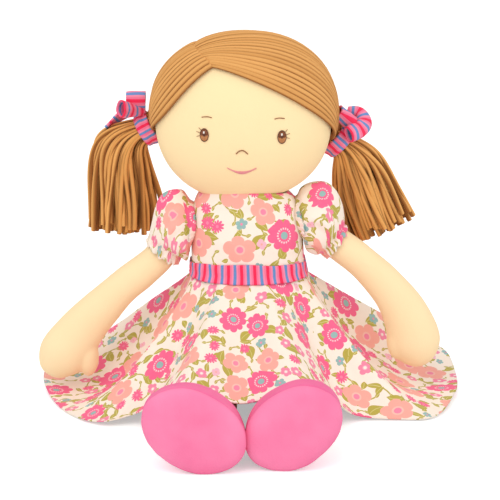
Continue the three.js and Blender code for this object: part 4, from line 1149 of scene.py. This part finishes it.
def strand_places(tree):
    """A strand's places round and along it, and its tone."""
    place = add_node(tree, "ShaderNodeUVMap", uv_map="UVMap")[0]
    parts = add_node(tree, "ShaderNodeSeparateXYZ", {0: place})
    return place, parts[0], parts[1], add_node(tree, "ShaderNodeAttribute", attribute_name="tone")["Fac"]


def thread_material(name, ink, deep):
    made, tree, shader = new_material(name, roughness=0.5, sheen=0.2)
    _, across, along, tone = strand_places(tree)
    twist = calc("SINE", along * 7000.0 + across * 12.0) * 0.5 + 0.5
    colour = mixed(tree, tone * 0.5 + twist * 0.25, ink, deep)
    dress_shader(tree, shader, colour, twist, depth=0.00008, strength=0.8)
    return made


# Sleeve elastic
# A cord of elastic lies inside each sleeve's gather, and holds the cuff to the arm.
# It is two turns of covered rubber, hidden under the cloth.
elastic_half_gap = 0.6
elastic_radius = 0.5
elastic_sides = 8
elastic_columns = 64
elastic_seat = 0.3 + 0.55
elastic_material = thread_material("white_elastic", "#f4f0ea", "#dcd6cc")
for name in sides:
    line = arm_line(name)
    run = even_curve(line, [0.0])[2]
    place = (arm_inset + gather_share * sleeve_length) / run
    centres, ways, _ = even_curve(line, [place - elastic_half_gap / run, place + elastic_half_gap / run])
    radius = arm_width(np.array([place, place])) + elastic_seat
    rings = bent_rings(centres, ways, radius, radius, elastic_columns)
    title = f"cuff_elastic_{name}_turns"
    elastic = strands(title, list(rings), elastic_radius, elastic_sides, elastic_material, closed=True)
    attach(elastic, f"arm_{name}")
    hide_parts(f"cuff_elastic_{name}")

# Face
# The face is embroidered through the jersey: satin-stitched eyes with three lashes each, fine brows,
# a small nose arc and a smiling mouth.
eye_half_width = 3.0
eye_half_height = 4.7
eye_places = {"left": (-27.8, -4.9), "right": (27.7, -6.2)}
brow_places = {"left": (-26.0, 7.9), "right": (26.0, 7.0)}
brow_length = 7.2
rim_stitches = 26
stitch_pitch = 0.34
lash_degrees = (-18, 16, 48)
nose_middle = (-0.8, -18.3)
nose_half_width = 4.2
nose_rise = 2.7
mouth_middle = (-0.9, -29.3)
mouth_half_width = 10.3
mouth_dip = 3.5
mouth_stitch_count = 46
thread_sides = 6


def on_face(x, z, offset):
    a = np.asarray(x, float) / head_half[0]
    c = np.asarray(z, float) / head_half[2]
    b = -(np.clip(1 - np.abs(a) ** head_power - np.abs(c) ** head_power, 0, 1)) ** (1 / head_power)
    directions = np.stack([a, b, c], -1)
    return head_points(directions, offset + lumps(head_points(directions), *head_lumps))


def stitch(x0, z0, x1, z1, crown=0.35, low=0.05):
    """One thread from place to place on the face, arched up by its crown."""
    t = np.linspace(0, 1, 5)
    return on_face(x0 + (x1 - x0) * t, z0 + (z1 - z0) * t, low + crown * np.sin(math.pi * t) ** 0.6)


def stitch_row(path, count):
    """Stitches in a line, each a quarter longer than its step."""
    marks = np.linspace(0, 1, count + 1)[:-1]
    return [stitch(*path(mark), *path(min(1.0, mark + 1.25 / count)), 0.3, 0.12) for mark in marks]


thread_inks = {
    "dark_brown": ("#6e3a1c", "#4e2610"), "brown": ("#8f5430", "#74401f"), "amber": ("#c98a55", "#b06f3c"),
    "white": ("#fffaf0", "#efe3d2"), "soft_brown": ("#a0643c", "#84502c"), "pink": ("#f4a3a5", "#ea8d93"),
}
threads = {ink: thread_material(f"{ink}_thread", *codes) for ink, codes in thread_inks.items()}

for name, side in sides.items():
    x0, z0 = eye_places[name]

    def from_eye(xa, za, xb, zb, crown, low):
        return stitch(x0 + xa, z0 + za, x0 + xb, z0 + zb, crown, low)

    fill = []
    glow = []
    for x in np.arange(-eye_half_width + 0.25, eye_half_width, stitch_pitch):
        tall = eye_half_height * math.sqrt(1 - (x / eye_half_width) ** 2)
        split = -0.15 * tall + 0.35 * math.cos(5 * x)
        fill.append(from_eye(x, tall, x, split, 0.4, 0.12))
        glow.append(from_eye(x, split + 0.3, x, -tall, 0.4, 0.12))

    def rim_place(step):
        angle = turn * step / rim_stitches
        return eye_half_width * math.cos(angle), eye_half_height * math.sin(angle)

    def lash_place(degrees, out, up):
        angle = math.radians(degrees)
        return side * out * math.cos(angle), up * math.sin(angle) + 0.6

    rim = [from_eye(*rim_place(i), *rim_place(i + 1.35), 0.35, 0.25) for i in range(rim_stitches)]
    across = np.arange(-1.1, 1.2, stitch_pitch)
    pupil = [from_eye(x, 2.0 - abs(x), x, -1.2 + abs(x), 0.45, 0.35) for x in across]
    glint = [from_eye(x, 2.6, x, 1.1, 0.35, 0.6) for x in (-0.55, -0.2, 0.15)]
    lashes = [from_eye(*lash_place(a, 3.3, 3.6), *lash_place(a, 5.9, 6.2), 0.25, 0.1) for a in lash_degrees]
    bx, bz = brow_places[name]
    brow = stitch_row(lambda t: (bx + brow_length * (t - 0.5), bz + 0.6 * math.sin(math.pi * t)), 5)
    for seed, (title, lines, radius, ink, slot_name, node_name) in enumerate((
        (f"eye_{name}_satin", fill, 0.26, "brown", "eye_thread", f"eye_{name}"),
        (f"eye_{name}_lower", glow, 0.26, "amber", "eye_thread", None),
        (f"eye_{name}_pupil", pupil, 0.26, "dark_brown", "eye_thread", None),
        (f"eye_{name}_rim", rim, 0.3, "dark_brown", "eye_thread", None),
        (f"eye_{name}_glint", glint, 0.24, "white", "eye_thread", None),
        (f"eye_{name}_lashes", lashes, 0.2, "soft_brown", "brown_thread", None),
        (f"brow_{name}_stitches", brow, 0.33, "soft_brown", "brown_thread", f"brow_{name}"),
    ), 3):
        piece = strands(title, lines, radius, thread_sides, threads[ink], seed)
        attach(piece, "head")
        if node_name:
            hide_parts(node_name)


def nose_path(t):
    x, z = nose_middle
    return x + nose_half_width * (2 * t - 1), z + nose_rise * math.sin(math.pi * t) ** 0.9


nose = strands("nose_arc_stitches", stitch_row(nose_path, 7), 0.42, thread_sides, threads["soft_brown"], 10)
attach(nose, "head")
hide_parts("nose_stitch")
mouth_stitches = []
for t in np.linspace(0, 1, mouth_stitch_count):
    x = mouth_middle[0] + mouth_half_width * (2 * t - 1)
    z = mouth_middle[1] - mouth_dip * math.sin(math.pi * t)
    tall = 0.35 + 0.75 * math.sin(math.pi * t) ** 3
    mouth_stitches.append(stitch(x - 0.15, z + tall, x + 0.15, z - tall, 0.3, 0.1))
mouth = strands("mouth_satin", mouth_stitches, 0.25, thread_sides, threads["pink"], 11)
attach(mouth, "head")
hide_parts("mouth_stitch")

# Hair on the head
# The hair is soft jersey cut in strips that roll up into round strands about 4 mm thick.
# They are sewn down side by side along a side parting, and gathered into a tie at each side of the head.
tie_radius = 11.0
tie_core_radius = 4.0
tie_depth = 20.0
band_width = 11.0
ties = {"left": (72.1, 10.8, math.radians(29), 3.5), "right": (71.0, 20.3, math.radians(42), 2.0)}
parting_shares = [
    (-0.342, -0.705, 0.715), (-0.485, -0.38, 0.83), (-0.52, 0, 0.86), (-0.42, 0.5, 0.76),
    (-0.22, 0.86, 0.38), (-0.06, 0.95, -0.2), (0, 0.66, -0.75),
]
strand_radius = 2.15
strand_pitch = 3.75
strand_root_radius = tie_radius - 1.6
strand_sides = 12
strand_sink = 0.9
layer_step = 1.1
hair_seeds = {"left": 5, "right": 6}


def hair_material(name, light, deep):
    made, tree, shader = new_material(name, roughness=0.85, sheen=0.15, sheen_colour="#f0c890")
    place, across, along, tone = strand_places(tree)
    knit = calc("SINE", across * (turn * 14)) * calc("SINE", along * 5200.0) * 0.5 + 0.5
    painted_gap_shade = add_node(tree, "ShaderNodeAttribute", attribute_name="deep")["Fac"]
    long_noise = add_node(tree, "ShaderNodeTexNoise", {"Vector": place, "Scale": 60.0, "Detail": 2.0})[0]
    colour = mixed(tree, tone * 0.6 + long_noise * 0.35, light, deep)
    # Painted shade: the marked sides of the strands, where they meet in the gaps, are drawn dark brown.
    colour = mixed(tree, painted_gap_shade * 0.9, colour, "#8a5222")
    dress_shader(tree, shader, colour, knit, depth=0.00012, strength=0.6)
    return made


strand_material = hair_material("rolled_jersey", "#eaae68", "#cf9250")
# The bunches are the same jersey drawn lighter: painted light on the hanging strands.
painted_light_bunch_material = hair_material("painted_light_rolled_jersey", "#f4b468", "#da984f")
# Painted shade: a dark brown jersey sheet under the hair strands, so that the gaps between them show dark where
# the head would show bright.
shade_sheet_material, tree, shader = new_material("painted_shade_jersey", roughness=0.95)
feed(shader, {"Base Color": mixed(tree, brushed(tree)["Height"], "#7a4c20", "#8d5c2a")})


def tie_frame(name):
    """A tie's middle, the way out along the bunch, and the way up across it."""
    across, below, tilt, _ = ties[name]
    side = sides[name]
    centre = head_centre + [side * across, tie_depth, -below]
    out = np.array([side * math.cos(tilt), 0, -math.sin(tilt)])
    up = np.array([side * math.sin(tilt), 0, math.cos(tilt)])
    return centre, out, up


def round_tie(name, along_tie, radius, angle):
    centre, out, up = tie_frame(name)
    values = (np.asarray(value, float) for value in (along_tie, radius, angle))
    along_tie, radius, angle = np.broadcast_arrays(*values)
    point = centre + out * along_tie[..., None] + up * (radius * np.sin(angle))[..., None]
    point[..., 1] -= radius * np.cos(angle)
    return point


def hair_line(name, across, start_offset, end_radius, sink=0.0, under=0.0):
    """A strand's line from the parting, where across runs from front to back, to its place in the tie."""
    start = unit(even_curve(parting_shares, [across])[0][0])
    angle = math.radians(-15 + 265 * across)
    end = round_tie(name, -1 - band_width / 2, end_radius, angle)
    end_direction = unit((end - head_centre) / head_half)
    on_skin = head_points(end_direction, 0.0) - head_centre
    lift = np.linalg.norm(end - head_centre) / np.linalg.norm(on_skin) - 1
    sag = 0.36 * max(0.0, 1 - across / 0.3)
    share = np.linspace(-0.15 / 60, 1, 30)
    gap = math.acos(np.clip(start @ end_direction, -1, 1))
    way = unit(start * np.sin((1 - share) * gap)[:, None] + end_direction * np.sin(share * gap)[:, None])
    way = unit(way + np.array([0, -1, -1]) / math.sqrt(2) * (sag * np.sin(math.pi * share))[:, None])
    share = np.maximum(share, 0)
    raised = share ** ties[name][3]
    offset = start_offset * (1 - raised) - sink * np.exp(-share / 0.025) - under * share ** 5
    last = round_tie(name, [1 - band_width / 2, 2.0], end_radius - 0.3 - under, angle)
    return np.concatenate([head_points(way, offset, lift * raised), last])


def from_head(points):
    return unit((points - head_centre) / head_half ** 2)


for name, side in sides.items():
    chance = np.random.default_rng(hair_seeds[name])
    fine = np.linspace(0.006, 0.992, 320)
    middles = np.array([hair_line(name, across, 2.6, strand_root_radius)[[9, 14, 19]] for across in fine])
    run = np.concatenate([[0], np.cumsum(np.linalg.norm(np.diff(middles, axis=0), axis=2).max(1))])
    count = int(run[-1] / strand_pitch) + 1
    lines = []
    for i, across in enumerate(np.interp(np.linspace(0, run[-1], count), run, fine)):
        offset = 0.5 + strand_radius + (chance.uniform(0.0, 0.65) if i else 0.0)
        under = layer_step * (0, 2, 1)[i % 3]
        lines.append(hair_line(name, across, offset, strand_root_radius, strand_sink, under))
    grid = np.array(lines)
    apart = np.linalg.norm(np.diff(grid, axis=0), axis=2)
    apart = (np.concatenate([apart[:1], apart]) + np.concatenate([apart, apart[-1:]])) / 2
    full = np.clip(apart / (1.72 * strand_radius), 0.55, 1.0)
    share = np.linspace(0, 1, grid.shape[1])
    widths = [row * (1 + 0.05 * np.sin(9 * share + chance.uniform(0, turn))) for row in full]
    # The sides of these strands that turn away from the head get painted shade.
    hair = strands(
        f"hair_{name}_strands", lines, strand_radius, strand_sides, strand_material, 20 + side, widths,
        outward=from_head,
    )
    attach(hair, "head")
    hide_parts(f"hair_{name}")
    # A dark sheet under each side's strands, as painted shade in the gaps between them.
    grid = np.array([hair_line(name, across, 1.6, tie_core_radius) for across in np.linspace(0.012, 1, 60)])
    shade_sheet = thickened(surface(f"hair_{name}_base", grid, shade_sheet_material, round_way=False), 0.8, 0.0)
    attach(shade_sheet, "head")

# Bunches
# Below each tie the free ends of the strands hang in a full bunch, cut off by hand at uneven lengths.
# They are the same strips of jersey as the hair on the head.
bunch_half_width = 26.0
bunch_half_depth = 12.0
bunch_drop = 75.0
bunch_root_radius = 10.2
bunch_strand_radius = 1.92
bunch_sides = 10
bunch_count = 94
bunch_ends = {"left": (0.6, 0.6, 1.02), "right": (1.17, 0.6, 0.9)}
bunch_fall = {"left": (0.06, 0.1, -1), "right": (0.42, 0.15, -0.9)}
bunch_arch = {"left": (7, 36), "right": (5, 24)}
bunch_hang = {"left": (34, 58), "right": (42, 48)}
bunch_seeds = {"left": 61, "right": 62}
golden_turn = math.pi * (3 - math.sqrt(5))


def between(ends, outer):
    return ends[0] + (ends[1] - ends[0]) * (outer + 1) / 2


for name, side in sides.items():
    centre, out, up = tie_frame(name)
    start = centre + out * (band_width / 2 + 0.3)
    bottom = start + np.array(bunch_ends[name]) * [side * bunch_half_width, bunch_half_width, -bunch_drop]
    fall = unit(np.array(bunch_fall[name]) * [side, 1, 1])
    across = -unit(np.cross([0, side, 0], fall))
    t = np.linspace(0, 1, 30)[:, None]
    chance = np.random.default_rng(bunch_seeds[name])

    def bunch_line(outer, behind, loose=(0, 0, 0)):
        """A strand from its place in the tie to its cut end: outer and behind run from -1 to 1."""
        from_centre = up * outer * bunch_root_radius + [0, behind * bunch_root_radius, 0]
        begin = start + from_centre
        finish = bottom + across * (outer + loose[0]) * bunch_half_width
        finish = finish + [0, (behind + loose[1]) * bunch_half_depth, 0] + fall * loose[2]
        first = begin + (out + up * 0.35 * outer) * between(bunch_arch[name], outer)
        second = finish - fall * between(bunch_hang[name], outer)
        line = begin * (1 - t) ** 3 + 3 * first * t * (1 - t) ** 2
        line += 3 * second * t ** 2 * (1 - t) + finish * t ** 3
        return np.concatenate([[centre - out * 6.0 + from_centre, centre - out + from_centre], line])

    middles = bunch_line(0, 0)
    lines = []
    widths = []
    for i in range(bunch_count):
        radius = math.sqrt((i + 0.5) / bunch_count)
        angle = i * golden_turn + chance.uniform(-0.25, 0.25)
        loose = (chance.normal(0, 0.09), chance.normal(0, 0.1), chance.uniform(-4, 6) - 3 * radius)
        line = bunch_line(radius * math.cos(angle), radius * math.sin(angle), loose)
        for sway in (across * 1.7, np.array([0, 1.8, 0])):
            line[2:] += sway * np.sin(chance.uniform(3, 7) * t + chance.uniform(0, turn)) * t
        lines.append(line)
        down = t[:, 0]
        uneven = 1 + 0.07 * np.sin(12 * down + chance.uniform(0, turn))
        widths.append(np.concatenate([[0.6, 0.6], (0.68 + 0.36 * smooth_step(down / 0.4)) * uneven]))

    # The bunch's strands get painted shade on the sides that turn in towards its middle, away from the front.
    def from_bunch(points):
        nearest = np.linalg.norm(points[:, None] - middles[None], axis=2).argmin(1)
        way = points - middles[nearest] + np.array([0, -4.0, 0])
        return way / (np.linalg.norm(way, axis=1)[:, None] + 1e-9)

    bunch = strands(
        f"bunch_{name}_strands", lines, bunch_strand_radius, bunch_sides, painted_light_bunch_material, 40 + side, widths,
        outward=from_bunch,
    )
    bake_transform(bunch)
    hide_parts(f"pigtail_{name}")

# Ties
# A strip of the striped cotton is wound round each bunch and pulled tight.
# Its folds run round the bunch, and the stripes cross them.
tie_columns = 96
tie_rows = 18
tie_cut = (2, 0)
tie_thickness = 1.2
around = ring_angles(tie_columns)
for name, side in sides.items():
    rows = []
    for share in np.linspace(0, 1, tie_rows):
        swell = 1.6 * math.sin(math.pi * share) ** 0.4
        crease = 0.35 * np.sin(3 * math.pi * share + 2.2 * np.sin(around + 0.7))
        crease += 0.2 * np.sin(5 * around + 6 * share)
        radius = tie_radius + 0.5 + swell + crease * math.sin(math.pi * share) ** 0.5
        drift = 0.5 * np.sin(2 * around + 1.0) * (1 - 0.3 * share)
        rows.append(round_tie(name, (share - 0.5) * band_width + drift, radius, around))
    grid = np.array(rows)[:, ::side]
    tie = surface(f"hair_tie_{name}_band", grid, stripe_material, cloth_uv(grid, tie_cut))
    thickened(tie, tie_thickness)
    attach(tie, "head")
    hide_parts(f"hair_tie_{name}")

# Bows
# The ends of each tie are knotted on top into soft loops of the same striped cotton.
# The doubled strip is padded by its own turned-in edges, so a loop stands up by itself.
ribbon_width = 13.5
ribbon_columns = 22
ribbon_rows = 72
ribbon_thickness = 1.5
ribbon_bulge = 0.4
horn_columns = 48
horn_rows = 56
horn_lip = 1.3
loop_marks = [
    (0, 0.1), (0.3, 0.42), (0.62, 0.5), (0.9, 0.42), (1.0, 0.05), (0.94, -0.34), (0.68, -0.5), (0.34, -0.4),
    (0, -0.1),
]


def across_path(path, count, width_ways):
    """Even places along a path, its directions and length, and the ways across it."""
    shares = np.linspace(0, 1, count)
    centres, ways, length = even_curve(path, shares)
    across = rows_at(shares, width_ways)
    across -= ways * (across * ways).sum(1)[:, None]
    return shares, centres, ways, length, unit(across)


def ribbon(name, path, width_ways, widths, start):
    """A doubled strip along a path, bulged a little across its width."""
    shares, centres, ways, length, side_way = across_path(path, ribbon_rows, width_ways)
    half = rows_at(shares, np.array([widths]).T)[:, 0] / 2
    across = np.linspace(-1, 1, ribbon_columns)
    chance = np.random.default_rng(len(name) + int(start))
    ripple = 0.25 * np.sin(9 * shares + chance.uniform(0, turn))[:, None] * np.sin(3 * across + 0.5)[None]
    lift = ribbon_bulge * (1 - across ** 2)[None] + ripple
    grid = centres[:, None] + side_way[:, None] * (half[:, None] * across[None])[..., None]
    grid += np.cross(ways, side_way)[:, None] * lift[..., None]
    uv = np.stack(np.broadcast_arrays((start + shares * length)[:, None], (across * 7)[None]), 2)
    piece = surface(name, grid, stripe_material, uv, round_way=False)
    return thickened(piece, ribbon_thickness, 0.0), length, ribbon_width


def loop_path(root, reach_way, reach, depth_way, depth):
    reach_way, depth_way = (unit(np.array(way, float)) for way in (reach_way, depth_way))
    return [np.array(root) + reach_way * reach * a + depth_way * depth * b for a, b in loop_marks]


def rolled_horn(name, path, halves, ups, start):
    """A strip rolled into an oval tube: closed at its root, open at its end, with the edge turned in."""
    shares, centres, ways, length, up = across_path(path, horn_rows, ups)
    side_way = np.cross(up, ways)
    tall, wide = rows_at(shares, halves).T
    around = ring_angles(horn_columns)
    chance = np.random.default_rng(len(name))
    crease = 0.2 * np.sin(3 * around[None] + 7 * shares[:, None] + chance.uniform(0, turn))
    crease = crease + 0.15 * np.sin(5 * around[None] - 9 * shares[:, None])

    def oval(i, less=0.0):
        a = (tall[i] - less + crease[i]) * np.cos(around)
        b = (wide[i] - less + crease[i]) * np.sin(around)
        return centres[i] + up[i] * a[:, None] + side_way[i] * b[:, None]

    rows = [oval(i) for i in range(horn_rows)]
    along = list(start + length * shares)
    for step in (0.25, 0.6, 1.0):
        rows.append(oval(horn_rows - 1, horn_lip * step) + ways[-1] * 0.8 * math.sin(math.pi * step))
        along.append(along[-1] + 0.7)
    for i in range(horn_rows - 2, 30, -2):
        rows.append(oval(i, horn_lip))
        along.append(along[-1] + length * 2 / (horn_rows - 1))
    grid = np.array(rows)
    girth = turn * (tall.mean() + wide.mean()) / 2
    round_way = np.linspace(0, girth, horn_columns + 1)
    uv = np.stack(np.broadcast_arrays(np.array(along)[:, None], round_way[None]), 2)
    tips = (centres[0] - ways[0] * 0.5, grid[-1].mean(0))
    return surface(name, grid, stripe_material, uv, tips=tips), length, girth


loops = {
    "left": [
        ("upright", loop_path((-84.7, 16, 215.5), (0, -0.1, 1), 14.2, (0, 1, 0.1), 9.0),
         [(1, 0, 0.03)], [12, 14, 14.3, 14.3, 14], 14.25),
        ("tail", [(-83, 20, 215), (-92, 23, 213), (-100, 24, 208), (-107.5, 22, 201)],
         [(0.3, -0.6, 0.74)], [7, 10, 11, 11], 6.0),
    ],
    "right": [
        ("upper", loop_path((67.2, 9, 208.2), (0.62, -0.05, 0.78), 9.2, (-0.35, 1, 0.3), 7.5),
         [(0.77, 0.1, -0.64)], [11, 13, 14, 14, 13], 3.0),
    ],
}
horns = {
    "left": ("curl", [(-79.5, 14, 215.5), (-85, 10.5, 216.3), (-90.5, 6, 218), (-95, 0.5, 220)],
             [(2.6, 3), (4.4, 3.8), (6.0, 4.4), (6.7, 4.4)], [(0, 0, 1), (-0.15, 0, 1), (-0.35, 0, 0.94)], 8.6),
    "right": ("curl", [(73, 21, 215), (81.5, 20, 213.6), (84.8, 14, 207), (80.5, 7, 202.8), (73.2, 1.5, 200.4)],
              [(3.2, 3), (4.6, 4), (5.8, 4.8), (6.6, 5.0), (6.3, 4.8)],
              [(0.35, 0, 0.94), (0.7, 0, 0.7), (0.98, 0, -0.19), (0.5, 0, -0.86), (0.36, 0, -0.93)], 2.0),
}
for name in sides:
    pieces = [ribbon(f"bow_{name}_{title}", *shape) for title, *shape in loops[name]]
    title, *shape = horns[name]
    pieces.append(rolled_horn(f"bow_{name}_{title}", *shape))
    for piece, length, width in pieces:
        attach(piece, "head")
        flat = (round(length / 1000, 3), round(width / 1000, 3))
    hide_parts(f"bow_{name}")

# Background
# The doll sits on a seamless white sweep, so its only shadow is a faint one close under it.
sweep_half = 6.0
sweep_grey = (0.9, 0.9, 0.9, 1)
sweep_glow = 0.42
world_strength = 0.8
mesh = bpy.data.meshes.new("white_sweep")
corners = [(x * sweep_half, y * sweep_half, 0) for x, y in ((-1, -1), (1, -1), (1, 1), (-1, 1))]
mesh.from_pydata(corners, [], [(0, 1, 2, 3)])
floor = placed("white_sweep", mesh)
floor_material, tree, shader = new_material("sweep_white", roughness=0.9)
seen = add_node(tree, "ShaderNodeLightPath")["Is Camera Ray"]
feed(shader, {
    "Base Color": sweep_grey, "Emission Color": (1, 1, 1, 1), "Emission Strength": seen * sweep_glow,
})
floor.data.materials.append(floor_material)

world = bpy.data.worlds.new("white_studio")
bpy.context.scene.world = world
world.use_nodes = True
tree = world.node_tree
tree.nodes.clear()
rays = add_node(tree, "ShaderNodeLightPath")
seen = calc("MAXIMUM", rays["Is Camera Ray"], rays["Is Glossy Ray"])
strength = seen * 0.2 + world_strength
light = add_node(tree, "ShaderNodeBackground", {"Color": (1, 1, 1, 1), "Strength": strength})[0]
add_node(tree, "ShaderNodeOutputWorld", {"Surface": light})

# Lights
# A large soft light from the upper left in front, and a weaker one from the right.
lamp_size = 1.2
lamp_aim = (0, 0, 0.1)


def aimed(thing, place, aim):
    thing.location = place
    thing.rotation_euler = (Vector(aim) - Vector(place)).to_track_quat("-Z", "Y").to_euler()
    return thing


for name, place, power in (("key_light", (-0.5, -1.1, 1.3), 8.5), ("fill_light", (1.1, -0.9, 0.7), 3.0)):
    lamp = bpy.data.lights.new(name, "AREA")
    lamp.size = lamp_size
    lamp.energy = power
    aimed(placed(name, lamp), place, lamp_aim)

# Camera
# It looks a little down at the doll from 1.4 m in front.
camera_place = (0, -1.3584, 0.4516)
camera_aim = (0, 0, 0.1129)
camera = bpy.data.cameras.new("camera")
camera.lens = 134.4
camera.sensor_width = 36.0
bpy.context.scene.camera = aimed(placed("camera", camera), camera_place, camera_aim)
bpy.context.scene.view_settings.view_transform = "Standard"
